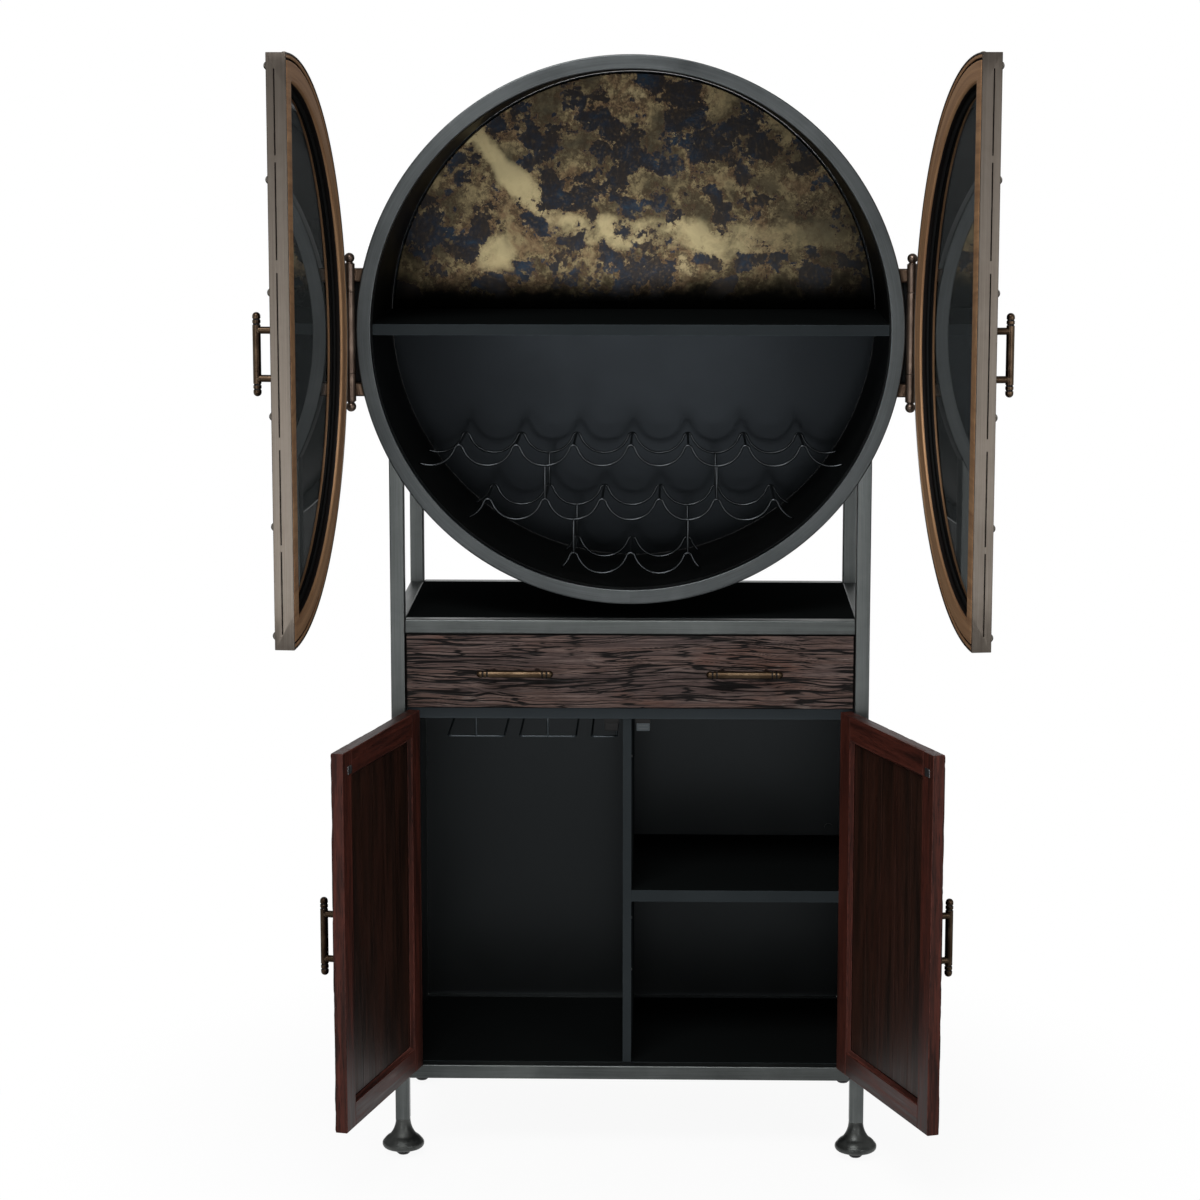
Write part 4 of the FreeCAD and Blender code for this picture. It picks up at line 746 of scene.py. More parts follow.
def scallopPath(peakInMiddle, troughZ):
    right = []
    step = 0
    inside = True
    while inside:
        peak = peakInMiddle == (step % 2 == 0)
        radius = bend if peak else hang
        level = troughZ + (rise - bend if peak else hang)
        start, stop = (math.pi - slope, slope) if peak else (math.pi + slope, math.tau - slope)
        if step == 0:
            start = math.pi / 2 if peak else math.pi * 1.5
        for x, z in arcPoints(halfPitch * step, level, radius, start, stop, 8 if peak else 22):
            if math.hypot(x, z) > wireReach:
                inside = False
                break
            if not right or math.hypot(x - right[-1][0], z - right[-1][1]) > 1e-5:
                right.append((x, z))
        step += 1
    return [(-x, z) for x, z in right[:0:-1]] + right


def weldBead(mesh, spot, radius):
    turns = [math.pi * k / 6 for k in range(7)]
    profile = [(radius * math.sin(t), radius * 0.8 * math.cos(t)) for t in turns]
    addLathe(mesh, profile, Matrix.Translation(spot), 10)


def weldedRod(start, stop, up):
    addTube(rods, [start, stop], wire, up)
    for spot in (start, stop):
        weldBead(rods, spot, rackLook["weld"] * mm)


rowsY = (rackLow.y + wire, rackHigh.y - wire)
waves = bmesh.new()
rods = bmesh.new()
troughs = [-(rackLook["drop"] + rackLook["tierDrop"] * tier) * mm for tier in range(3)]
for tier, peaks in enumerate(rackLook["peakCounts"]):
    for y in rowsY:
        path = [(x, y, centreZ + z) for x, z in scallopPath(tier % 2 == 0, troughs[tier])]
        addTube(waves, path, wire, (0, 1, 0))
    for i in range(peaks):
        x = rackLook["pitch"] * mm * (i - (peaks - 1) / 2)
        z = centreZ + troughs[tier] + rise
        weldedRod((x, rowsY[0] + wire, z), (x, rowsY[1] - wire, z), (1, 0, 0))
for tier, halfPitches in enumerate(rackLook["struts"]):
    top = centreZ + troughs[tier]
    bottom = top - rackLook["tierDrop"] * mm + rise
    for side in (-1, 1):
        for y in rowsY:
            x = halfPitch * halfPitches * side
            weldedRod((x, y, bottom), (x, y, top), (0, 1, 0))
makePiece("wine_rack_waves", waves, [blackWire], "root")
makePiece("wine_rack_rods", rods, [blackWire], "root")

# Stemware rack: flat loops on short stems under the drawer's board
stemLook = {"wire": 2, "loops": (99, 99, 44), "slot": 27.5, "bend": 8, "weld": 2.8}
stemLow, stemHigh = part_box("stemware_rack")
stemWire, loopBend, bead = [size * mm for size in pick(stemLook, "wire bend weld")]
loopZ = stemLow.z + stemWire
loopY = (stemLow.y + stemWire, stemHigh.y - stemWire)
loopX = stemLow.x + stemWire
mesh = bmesh.new()
for width in stemLook["loops"]:
    right = loopX + width * mm
    outline = roundedBox((loopX, loopY[0]), (right, loopY[1]), loopBend, 7)
    addTube(mesh, [(x, y, loopZ) for x, y in outline], stemWire, (0, 0, 1), closed=True)
    narrow = width == min(stemLook["loops"])
    stemX = right if narrow else (loopX + right) / 2
    inset = loopBend if narrow else 0
    for y in (loopY[0] + inset, loopY[1] - inset):
        addTube(mesh, [(stemX, y, loopZ), (stemX, y, stemHigh.z)], stemWire, (0, 1, 0))
        weldBead(mesh, (stemX, y, loopZ), bead)
    loopX = right + stemLook["slot"] * mm
makePiece("stemware_rack", mesh, [greyWire], "root")
print("wire racks made")

# Boards and sheets of the frame and the cupboard
for node in ("open_shelf", "cabinet_floor", "bay_divider", "middle_shelf"):
    dressNode(node, blackBoard, 1.0)
dressNode("drawer_bay_floor", litBayBoard, 1.0)
for node in ("side_panels", "cabinet_back_panel"):
    dressNode(node, sheetEnamel, 0.5)

# Magnetic catches: a black mounting foot, and a body with two pole plates in its face
catchLook = {"width": 26.5, "bodyInset": 1.5, "footHeight": 8, "bodyEnd": 0.5, "plate": 1.2, "plateInset": 5,
             "plateRise": 0.3, "plateDepth": 2, "footSoft": 0.6, "bodySoft": 1.2, "plateSoft": 0.1}
catchLow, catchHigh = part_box("magnetic_catches")
width, inset, plateInset = [size * mm for size in pick(catchLook, "width bodyInset plateInset")]
footZ = catchHigh.z - catchLook["footHeight"] * mm
endZ = catchLow.z + catchLook["bodyEnd"] * mm
plateY = (catchLow.y - catchLook["plateRise"] * mm, catchLow.y + catchLook["plateDepth"] * mm)
halfPlate = catchLook["plate"] / 2 * mm
mesh = bmesh.new()
# The left catch's body and pole plates take the black plastic: painted shade
for left, shade, plateShade in ((catchLow.x, 1, 1), (catchHigh.x - width, 0, 2)):
    right = left + width
    addBoard(mesh, (left, catchLow.y + inset, footZ - inset), (right, catchHigh.y, catchHigh.z),
             catchLook["footSoft"] * mm, 1, 1)
    addBoard(mesh, (left + inset, catchLow.y, endZ), (right - inset, catchHigh.y - inset, footZ),
             catchLook["bodySoft"] * mm, 2, shade)
    for share in (0.3, 0.7):
        z = endZ + (footZ - endZ) * share
        addBoard(mesh, (left + plateInset, plateY[0], z - halfPlate),
                 (right - plateInset, plateY[1], z + halfPlate), catchLook["plateSoft"] * mm, 1, plateShade)
makePiece("magnetic_catches", mesh, [catchGrey, catchBlack, catchPole], "root")

# Pan-head screws through the divider, beside the right-hand shelf
screwLook = {"radius": 2.4, "rise": 0.9, "setback": 36, "levels": (717, 424, 329)}
dividerLow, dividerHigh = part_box("bay_divider")
radius, rise = pick(screwLook, "radius rise")
panHead = scaled([(0, -0.4), (radius, -0.4), (radius, 0.2), (radius * 0.7, rise), (0, rise)])
mesh = bmesh.new()
for z in screwLook["levels"]:
    centre = (dividerHigh.x, dividerLow.y + screwLook["setback"] * mm, z * mm)
    addLathe(mesh, panHead, onAxis(centre, (1, 0, 0)), 16)
makePiece("divider_screws", mesh, [zinc], "root")

# Bell feet and levelling glides
footLook = {"neck": 13, "sole": 18, "soleLevel": 9, "height": 66, "lipStart": (29, 12.2),
            "lipEnd": (34.2, 26.4), "lipBend": 7.9, "shoulder": (24.2, 35.6), "shoulderBend": 27,
            "neckBend": 46}
glideLook = {"radius": 12, "toe": 3, "top": 8.5, "soft": 0.6, "stud": 4, "studTop": 28}


def curveBetween(start, stop, radius, bulge, steps):
    a, b = Vector(start), Vector(stop)
    chord = b - a
    sink = math.sqrt(radius ** 2 - (chord.length / 2) ** 2)
    centre = (a + b) / 2 + Vector((-chord.y, chord.x)).normalized() * sink * bulge
    turnA = math.atan2(*(a - centre).yx)
    turnB = math.atan2(*(b - centre).yx)
    if turnB - turnA > math.pi:
        turnB -= math.tau
    if turnA - turnB > math.pi:
        turnB += math.tau
    return arcPoints(centre.x, centre.y, radius, turnA, turnB, steps)


neck, sole, level, top, lipEnd, shoulder = pick(footLook, "neck sole soleLevel height lipEnd shoulder")
footProfile = [(0, level), (sole - 1, level), (sole, level + 0.6)]
footProfile += curveBetween(footLook["lipStart"], lipEnd, footLook["lipBend"], 1, 9)
footProfile += curveBetween(lipEnd, shoulder, footLook["shoulderBend"], 1, 6)[1:]
footProfile += curveBetween(shoulder, (neck, top - 2), footLook["neckBend"], -1, 12)[1:]
footProfile += [(neck, top - 0.6), (neck - 0.6, top), (0, top)]
radius, toe, top, soft, stud, studTop = pick(glideLook, "radius toe top soft stud studTop")
glideProfile = [(0, 0.01), (radius - toe, 0.01), (radius - 0.4, toe - soft), (radius, toe),
                (radius, top - soft), (radius - soft, top), (stud, top), (stud, studTop), (0, studTop)]
feet = bmesh.new()
for end in ("front", "rear"):
    for sideName, side in sides:
        low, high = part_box(f"{end}_{sideName}_post")
        spot = Matrix.Translation(((low.x + high.x) / 2, (low.y + high.y) / 2, 0))
        addLathe(feet, scaled(footProfile), spot, 40)
        mesh = bmesh.new()
        addLathe(mesh, scaled(glideProfile), spot, 32)
        glide = f"{end}_{sideName}_glide"
        makePiece(glide, mesh, [nylon], glide)
makePiece("bell_feet", feet, [castIron], "root")
print("feet made")

# Bar handle: two grooves and a domed tip at each end of the bar, on two posts
gripLook = {"radius": 6.5, "length": 133, "posts": 76, "postRadius": 5.75, "reach": 26, "bead": 5,
            "groove": 2.5, "cut": 1.0, "tip": 10, "soft": 0.35, "flare": 1.6}


# The bar lies along the place's Z; the posts run to its +Y
def addHandle(mesh, place):
    radius, soft, groove = pick(gripLook, "radius soft groove")
    half = gripLook["length"] / 2
    tip = half - gripLook["tip"]
    outer = tip - groove
    bead = outer - gripLook["bead"]
    inner = bead - groove
    neck = radius - gripLook["cut"]
    upper = [(radius, 0), (radius, inner - soft), (radius - soft, inner), (neck, inner), (neck, bead),
             (radius - soft, bead), (radius, bead + soft), (radius, outer - soft), (radius - soft, outer),
             (neck, outer), (neck, tip), (radius - soft, tip), (radius, tip + soft)]
    upper += arcPoints(0, half - radius, radius, 0, math.pi / 2, 8)
    profile = [(r, -h) for r, h in upper[:0:-1]] + upper
    back = place.inverted()
    for face in addLathe(mesh, scaled(profile), place, 28):
        middle = back @ face.calc_center_median()
        sunk = math.hypot(middle.x, middle.y) < (radius - gripLook["cut"] * 0.6) * mm
        face.material_index = 1 if sunk and abs(middle.z) < (tip + soft) * mm else 0
    post, reach, flare = pick(gripLook, "postRadius reach flare")
    stem = [(0, 1), (post + flare * 0.2, 1), (post + flare * 0.2, 4.6), (post, 6.4), (post, reach - 0.5),
            (post - 0.5, reach), (0, reach)]
    for level in (-gripLook["posts"] / 2 * mm, gripLook["posts"] / 2 * mm):
        addLathe(mesh, scaled(stem), place @ onAxis((0, 0, level), (0, 1, 0)), 24)


# Half-round glass doors. Meshes are in the closed door's place; the object carries the swing.
doorLook = {"reveal": 1, "backGap": 2, "depth": 32, "meetingGap": 3, "rimWall": 3, "rimBand": 45, "band": 43,
            "recess": 0.5, "groove": 6, "grooveDepth": 5.5, "gasketBand": 12, "gasketDepth": 10, "bite": 6,
            "pane": 4, "paneSetback": 14, "gripInset": 22.5, "wallPaint": 4.5}
rivetLook = {"radius": 7.5, "rise": 6.5, "inset": 16, "start": 97.5, "end": 20.5, "arcStep": 22.5,
             "cornerTurn": 8}
seamLook = {"width": 2, "depth": 1.5, "setback": 19, "middle": 258, "land": 20, "next": 151, "endLand": 11,
            "stop": 25}
barrelLook = {"radius": 9, "knuckle": 139, "split": 0.4, "frameKnuckle": 48.5, "finial": 8.8, "neck": 6.8,
              "finialRise": 9.2, "tabHeight": 23, "tabLevel": 98, "tabDepth": 13, "webDepth": 3,
              "leafHeight": 118, "leafDepth": 28, "wrap": 4.5, "soft": 0.8, "weldGap": 0.2}
doorRadius = ringRadius / mm - doorLook["reveal"]
halfGap = doorLook["meetingGap"] / 2


def glassDoor(sideName, side):
    joint = joints[f"upper_{sideName}_hinge"]
    pin = Vector(joint["pos_m"])
    turn = Matrix.Rotation(math.radians(joint["range_deg"][1]) * side, 4, "Z")
    place = Matrix.Translation(pin) @ turn @ Matrix.Translation(-pin)
    wall, rimBand, band, back = pick(doorLook, "rimWall rimBand band backGap")
    front = back + doorLook["depth"]

    # Millimetres on the closed door: away from the middle, up from the drum's centre, and out of the ring
    def spot(u, v, deep):
        return Vector((u * side * mm, frontY - deep * mm, centreZ + v * mm))

    def onArc(radius, turn, deep):
        return spot(radius * math.cos(turn), radius * math.sin(turn), deep)

    def spotOf(face):
        centre = face.calc_center_median()
        return abs(centre.x) / mm, (centre.z - centreZ) / mm, (frontY - centre.y) / mm

    def addBand(profile, closed=True):
        mesh = bmesh.new()
        addHalfRound(mesh, profile, doorRadius, halfGap, spot, closed)
        return mesh

    def doorPiece(part, mesh, materials, slot):
        return makePiece(f"upper_{sideName}_{part}", mesh, materials, f"upper_{sideName}_door", place)

    # Rim: outer wall and front band, with slots cut in the meeting edge
    mesh = addBand(rounded([(0, back, 0.7), (wall, back, 0.7), (wall, front - wall),
                            (rimBand, front - wall, 0.8), (rimBand, front, 0.8), (0, front, 1.3)]))
    for face in mesh.faces:
        u, v = spotOf(face)[:2]
        face.material_index = 1 if u - halfGap < doorRadius - math.hypot(u, v) else 0
    rimFinish = [rimSteel["ring"], rimSteel["z"], slotShade]
    rim = doorPiece("rim", mesh, rimFinish, "door_rim_steel")
    cutter = bmesh.new()
    half = seamLook["middle"] / 2
    nextLow = half + seamLook["land"]
    nextHigh = nextLow + seamLook["next"]
    spans = [(-half, half), (nextLow, nextHigh),
             (nextHigh + seamLook["endLand"], doorRadius - seamLook["stop"])]
    spans += [(-high, -low) for low, high in spans[1:]]
    seamY = back + seamLook["setback"]
    for low, high in spans:
        ends = (spot(halfGap - 1, low, seamY - seamLook["width"] / 2),
                spot(halfGap + seamLook["depth"], high, seamY + seamLook["width"] / 2))
        addBoard(cutter, *extent(ends), 0.1 * mm, 1, 2)
    cutObject = addObject("seamCutter", meshData("seamCutter", cutter, rimFinish))
    cutObject.matrix_world = place
    slotted = rim.modifiers.new("seams", "BOOLEAN")
    slotted.object = cutObject
    slotted.solver = "EXACT"
    rim.modifiers.move(1, 0)
    bpy.context.view_layer.update()
    rim.data = bpy.data.meshes.new_from_object(rim.evaluated_get(bpy.context.evaluated_depsgraph_get()))
    rim.modifiers.clear()
    bpy.data.objects.remove(cutObject)

    # Moulding behind the rim: a bead, a dark groove and a wide band, seen from inside when the door is open
    top = back + doorLook["recess"]
    floor = back + doorLook["grooveDepth"]
    lip = wall + doorLook["groove"]
    wallDeep = top + doorLook["wallPaint"]
    mesh = addBand(rounded([(wall, top + 0.4, 0.6), (lip - 1, top + 0.4, 2.0), (lip - 0.4, floor, 0.5),
                            (lip + 2.2, floor, 0.5), (lip + 2.8, top + 0.2, 1.6), (band - 8, top - 0.1, 4),
                            (band, top + 0.4, 2.6), (band, wallDeep), (band, front - wall),
                            (wall, front - wall)], 4))
    for face in mesh.faces:
        u, v, deep = spotOf(face)
        inset = min(u - halfGap, doorRadius - math.hypot(u, v))
        sunk = deep > top + 2.2 and lip - 1.5 < inset < lip + 4
        face.material_index = 1 if sunk or (inset > band - 0.5 and deep > wallDeep) else 0
    doorPiece("moulding", mesh, [moulding, groovePaint], "moulding_bronze")

    # Gasket and pane
    near = back + doorLook["paneSetback"]
    far = near + doorLook["pane"]
    lips = (doorLook["gasketDepth"] - doorLook["pane"]) / 2
    inner = band + doorLook["gasketBand"]
    seat = inner - doorLook["bite"]
    mesh = addBand(rounded([(band, near - lips), (inner - 1, near - lips, 1.5), (inner, near, 0.8),
                            (seat, near), (seat, far), (inner, far, 0.8), (inner - 1, far + lips, 1.5),
                            (band, far + lips)]))
    doorPiece("gasket", mesh, [rubber], "door_gasket")
    mesh = addBand([(seat + 0.5, near), (seat, near + 0.5), (seat, far - 0.5), (seat + 0.5, far)], False)
    doorPiece("glass", mesh, [glass], "clear_glass")

    # Dome rivets along the stile, round the arc and on the rim's outside beside the corners
    radius, height, inset, start = pick(rivetLook, "radius rise inset start")
    ball = (radius ** 2 + height ** 2) / (2 * height)
    reach = math.asin(radius / ball)
    dome = arcPoints(0, height - ball, ball, math.pi / 2 - reach * 0.98, math.pi / 2, 7)
    dome = scaled([(0, -0.2), (radius, -0.2), (radius, 0.25)] + dome)
    pitch = (doorRadius - rivetLook["end"] - start) / 2
    outward = (0, -1, 0)
    spots = []
    for end in (1, -1):
        spots += [(spot(halfGap + inset, (start + pitch * i) * end, front), outward) for i in range(3)]
        corner = math.radians(90 - rivetLook["cornerTurn"]) * end
        out = (math.cos(corner) * side, 0, math.sin(corner))
        spots.append((onArc(doorRadius, corner, (back + front) / 2), out))
    spots += [(onArc(doorRadius - inset, math.radians(rivetLook["arcStep"] * i), front), outward)
              for i in range(-3, 4)]
    mesh = bmesh.new()
    for centre, out in spots:
        addLathe(mesh, dome, onAxis(centre, out), 20)
    doorPiece("rivets", mesh, [rivetSteel], "rivet_steel")

    mesh = bmesh.new()
    addHandle(mesh, Matrix.Translation(spot(halfGap + doorLook["gripInset"], 0, front + gripLook["reach"])))
    doorPiece("handle", mesh, [bronze, groovePaint], "antique_bronze")

    # Door half of the hinge: knuckle and a leaf that hugs the rim
    mesh = bmesh.new()
    knuckle = barrelLook["knuckle"] / 2 - barrelLook["split"]
    radius, soft, leafHeight, weldGap = pick(barrelLook, "radius soft leafHeight weldGap")
    addLathe(mesh, scaled(softDisc(radius, -knuckle, knuckle, soft)),
             Matrix.Translation((pin.x, frontY, centreZ)))
    far = front - wall
    near = far - barrelLook["leafDepth"]
    outer = abs(pin.x) / mm - barrelLook["wrap"]
    rows = 24
    loops = []
    for k in range(rows + 1):
        v = -leafHeight / 2 + leafHeight * k / rows
        close = math.sqrt((doorRadius + weldGap) ** 2 - v ** 2)
        loops.append([spot(u, v, deep) for u, deep in (
            (close, near), (outer - soft, near), (outer, near + soft), (outer, far - soft),
            (outer - soft, far), (close, far))])
    addSkin(mesh, loops)
    doorPiece("hinge_leaf", mesh, [hingeBronze], "antique_bronze")


for sideName, side in sides:
    glassDoor(sideName, side)
print("glass doors made")


# Ring half of the barrel hinges: knuckles on tabs, a plate between them, and the pins with their ball ends
def addTab(mesh, side, reach, low, high, near, far, rows):
    loops = []
    for k in range(rows + 1):
        v = low + (high - low) * k / rows
        close = math.sqrt((ringRadius / mm + barrelLook["weldGap"]) ** 2 - v ** 2)
        loops.append([(x * side * mm, frontY + y * mm, centreZ + v * mm) for x, y in
                      ((close, near), (reach, near), (reach, far), (close, far))])
    return addSkin(mesh, loops)


mesh = bmesh.new()
start = barrelLook["knuckle"] / 2
stop = start + barrelLook["frameKnuckle"]
centre = stop + barrelLook["finialRise"]
ball, neck, tabLevel, tabDepth = pick(barrelLook, "finial neck tabLevel tabDepth")
halfTab = barrelLook["tabHeight"] / 2
finial = [(0, stop), (neck - 0.4, stop), (neck, stop + 0.5), (neck, stop + 1.1), (neck - 0.5, stop + 1.6),
          (neck - 1.6, stop + 1.8)]
finial += arcPoints(0, centre, ball, -math.acos((neck - 1.6) / ball), math.pi / 2, 12)
for sideName, side in sides:
    pinX = joints[f"upper_{sideName}_hinge"]["pos_m"][0]
    reach = abs(pinX) / mm
    pinPlace = Matrix.Translation((pinX, frontY, centreZ))
    for end in (1, -1):
        low, high = sorted((start * end, stop * end))
        addLathe(mesh, scaled(softDisc(barrelLook["radius"], low, high, barrelLook["soft"])), pinPlace)
        addLathe(mesh, scaled([(r, h * end) for r, h in finial]), pinPlace, 28)
        # The tabs take a darker copy of the hinge bronze: painted shade
        middle = tabLevel * end
        paint(addTab(mesh, side, reach, middle - halfTab, middle + halfTab, 0.3, tabDepth, 8), 1)
    # The plate between the tabs takes the black wall paint: painted shade
    web = tabLevel - halfTab
    paint(addTab(mesh, side, reach, -web, web, tabDepth - barrelLook["webDepth"], tabDepth, 32), 2)
makePiece("ring_hinge_halves", mesh, [hingeBronze, shadedTabBronze, wallPaint], "root")
print("ring hinges made")

# Framed wood doors. Meshes are counted from the hinge's axis, before the swing.
woodLook = {"pinFromFace": 3.5, "near": 1.25, "depth": 22, "stile": 41, "plank": 12, "plankSetback": 2,
            "planks": 5, "postGap": 2.5, "carve": 1.5, "step": 1.3, "bead": 7, "gripInset": 32,
            "gripLevel": 496, "screwSpread": 4}
farEdge = woodLook["near"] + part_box("front_right_post")[0].x / mm - woodLook["postGap"] - halfGap
frameLow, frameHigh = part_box("lower_left_door_frame")
stainedTall = stainedWood("stained wood upright", "z", 0.0)
stainedWide = stainedWood("stained wood level", "x", 5.3)
stainedPanel = stainedWood("stained panel", "z", 2.1, brownStain)
faceY, setback, woodCarve = [size * mm for size in pick(woodLook, "pinFromFace plankSetback carve")]
worn = {axis: weatheredWood(f"weathered door {axis}", axis, faceY, woodCarve) for axis in ("x", "z")}
wornPanel = weatheredWood("weathered panel", "z", faceY + setback, woodCarve)

# Cracks as (stride along the grain, spacing across it, width), dents as (stride, spacing)
crackLook = {"long": (5.0, 135.0, 0.12), "short": (10.0, 225.0, 0.12), "dents": (5.0, 60.0)}
carveLook = {"stride": 3, "round": 1.6, "roundDepth": 1.4, "soft": 1.0}


def drift(along, across, seed):
    return noise.noise(Vector((along, across, seed)))


# How deep the weather has eaten into a face: thin wandering cracks along the grain, in 0..1
def eaten(along, across, seed, knots=()):
    bendy = drift(along * 4.0, across * 12.0, seed) * 0.012
    bendy += drift(along * 16.0, across * 40.0, seed + 4) * 0.003
    for knotAlong, knotAcross, size in knots:
        off = (along - knotAlong) / (size * 2.6)
        gap = across - knotAcross
        bendy += size * 0.8 * math.exp(-off * off) * math.copysign(math.exp(-abs(gap) / size), gap)
    lane = across + bendy
    cut = 0.0
    for key, weight, shift in (("long", 1.0, 9), ("short", 0.7, 17)):
        stride, spacing, width = crackLook[key]
        line = abs(drift(along * stride, lane * spacing, seed + shift))
        here = drift(along * stride * 0.6, lane * spacing * 0.3, seed + shift + 3) * 1.2 + 0.85
        cut = max(cut, weight * max(0.0, 1 - line / width) * min(1.0, max(0.0, here)))
    stride, spacing = crackLook["dents"]
    dent = drift(along * stride, lane * spacing, seed + 29)
    return min(1.0, cut + max(0.0, dent) * 0.1)


# A board whose face (towards -Y) is carved along the grain, as loops across the grain's lines
def addCarved(mesh, x, z, y, grain, carve, seed, step, faceMaterial=0, backMaterial=0, knots=()):
    front, back = y
    strides = [step * (carveLook["stride"] if grain == axis else 1) for axis in "xz"]
    countX, countZ = [max(2, round((high - low) / stride)) for (low, high), stride in zip((x, z), strides)]
    grid = []
    for i in range(countX + 1):
        row = []
        for k in range(countZ + 1):
            px = x[0] + (x[1] - x[0]) * i / countX
            pz = z[0] + (z[1] - z[0]) * k / countZ
            along, across = (px, pz) if grain == "x" else (pz, px)
            sink = eaten(along, across, seed, knots)
            edge = min(px - x[0], x[1] - px, pz - z[0], z[1] - pz)
            eased = max(0.0, 1 - edge / (carveLook["round"] * mm)) ** 2 * carveLook["roundDepth"] * mm
            row.append(mesh.verts.new((px, front + sink * carve + eased, pz)))
        grid.append(row)
    for rowA, rowB in zip(grid, grid[1:]):
        for k in range(countZ):
            mesh.faces.new((rowA[k], rowB[k], rowB[k + 1], rowA[k + 1])).material_index = faceMaterial
    border = [row[0] for row in grid] + grid[-1][1:] + [row[-1] for row in grid[-2::-1]] + grid[0][-2:0:-1]
    soft = carveLook["soft"] * mm
    ring = [mesh.verts.new((v.co.x, back - soft, v.co.z)) for v in border]
    inset = []
    for v in border:
        inX = min(max(v.co.x, x[0] + soft), x[1] - soft)
        inZ = min(max(v.co.z, z[0] + soft), z[1] - soft)
        inset.append(mesh.verts.new((inX, back, inZ)))
    paint(bridge(mesh, border, ring) + bridge(mesh, ring, inset) + [mesh.faces.new(inset)], backMaterial)


def woodDoor(sideName, side):
    joint = joints[f"lower_{sideName}_hinge"]
    turn = Matrix.Rotation(math.radians(joint["range_deg"][1]) * side, 4, "Z")
    place = Matrix.Translation((joint["pos_m"][0], joint["pos_m"][1], 0)) @ turn
    near, stile, step = pick(woodLook, "near stile step")
    back = faceY + woodLook["depth"] * mm
    seed = 31 + 7 * side

    # A span counted from the hinge, towards the free edge, in metres
    def span(low, high):
        return tuple(sorted((-low * side * mm, -high * side * mm)))

    def doorPiece(part, mesh, materials, slot):
        makePiece(f"lower_{sideName}_{part}", mesh, materials, f"lower_{sideName}_door", place)

    mesh = bmesh.new()
    low, high, wide = frameLow.z, frameHigh.z, stile * mm
    x = span(near + stile, farEdge - stile)
    z = (low + wide, high - wide)
    for spanX, spanZ, grain, shift, faceMaterial, backMaterial in (
            (span(farEdge - stile, farEdge), (low, high), "z", 0, 1, 0),
            (span(near, near + stile), (low, high), "z", 2, 1, 0),
            (x, (low, low + wide), "x", 4, 3, 2), (x, (high - wide, high), "x", 6, 3, 2)):
        addCarved(mesh, spanX, spanZ, (faceY, back), grain, woodCarve, seed + shift, step * mm, faceMaterial,
                  backMaterial)

    # Quarter-round bead round the panel, on the inner side
    panelFront = faceY + setback
    panelBack = panelFront + woodLook["plank"] * mm
    bead = woodLook["bead"] * mm
    rise = back - 2.2 * mm - panelBack
    turns = [math.cos(math.pi / 2 * k / 5) for k in range(6)]
    profile = [(0, panelBack), (0, back - 1.2 * mm)]
    profile += [(bead * (1 - t) * 0.9 + 0.4 * mm, panelBack + rise * t) for t in turns]
    loops = []
    for inset, deep in profile:
        outline = roundedBox((x[0] + inset, z[0] + inset), (x[1] - inset, z[1] - inset))
        loops.append([(px, deep, pz) for px, pz in outline])
    for face in addSkin(mesh, loops, True):
        centre = face.calc_center_median()
        upright = min(centre.x - x[0], x[1] - centre.x) < min(centre.z - z[0], z[1] - centre.z)
        face.material_index = 0 if upright else 2
    doorPiece("door_frame", mesh, [stainedTall, worn["z"], stainedWide, worn["x"]], "red_brown_wood")

    # Panel: upright planks, weathered outside, stained and lightly grooved inside
    mesh = bmesh.new()
    planks = woodLook["planks"]
    for i in range(planks):
        xs = [x[0] + (x[1] - x[0]) * k / planks for k in (i, i + 1)]
        addCarved(mesh, xs, z, (panelFront, panelBack), "z", woodCarve, seed + 10 + 3 * i, step * mm, 1, 0)
    doorPiece("door_panel", mesh, [stainedPanel, wornPanel], "red_brown_wood")

    mesh = bmesh.new()
    gripX = -side * (farEdge - woodLook["gripInset"]) * mm
    addHandle(mesh, Matrix.Translation((gripX, faceY - gripLook["reach"] * mm, woodLook["gripLevel"] * mm)))
    doorPiece("handle", mesh, [bronze, groovePaint], "antique_bronze")

    # Strike plate with two screw heads
    strike = frame["nodes"][f"lower_{sideName}_strike"].data
    low, high = [Vector(corner) for corner in extent([place.inverted() @ v.co for v in strike.vertices])]
    screwHead = scaled([(0, 0), (2.1, 0), (1.9, 0.25), (1.2, 0.38), (0, 0.42)])
    mesh = bmesh.new()
    addBoard(mesh, low, high, 0.4 * mm, 2)
    for end in (-1, 1):
        level = (low.z + high.z) / 2 + woodLook["screwSpread"] * mm * end
        centre = ((low.x + high.x) / 2, high.y - 0.3 * mm, level)
        addLathe(mesh, screwHead, onAxis(centre, (0, 1, 0)), 16)
    doorPiece("strike", mesh, [zinc], "zinc_plate")
    dressNode(f"lower_{sideName}_hinge_leaves", hingeBronze, 0.2)


for sideName, side in sides:
    woodDoor(sideName, side)
dressNode("post_hinge_leaves", hingeBronze, 0.2)
print("wood doors made")

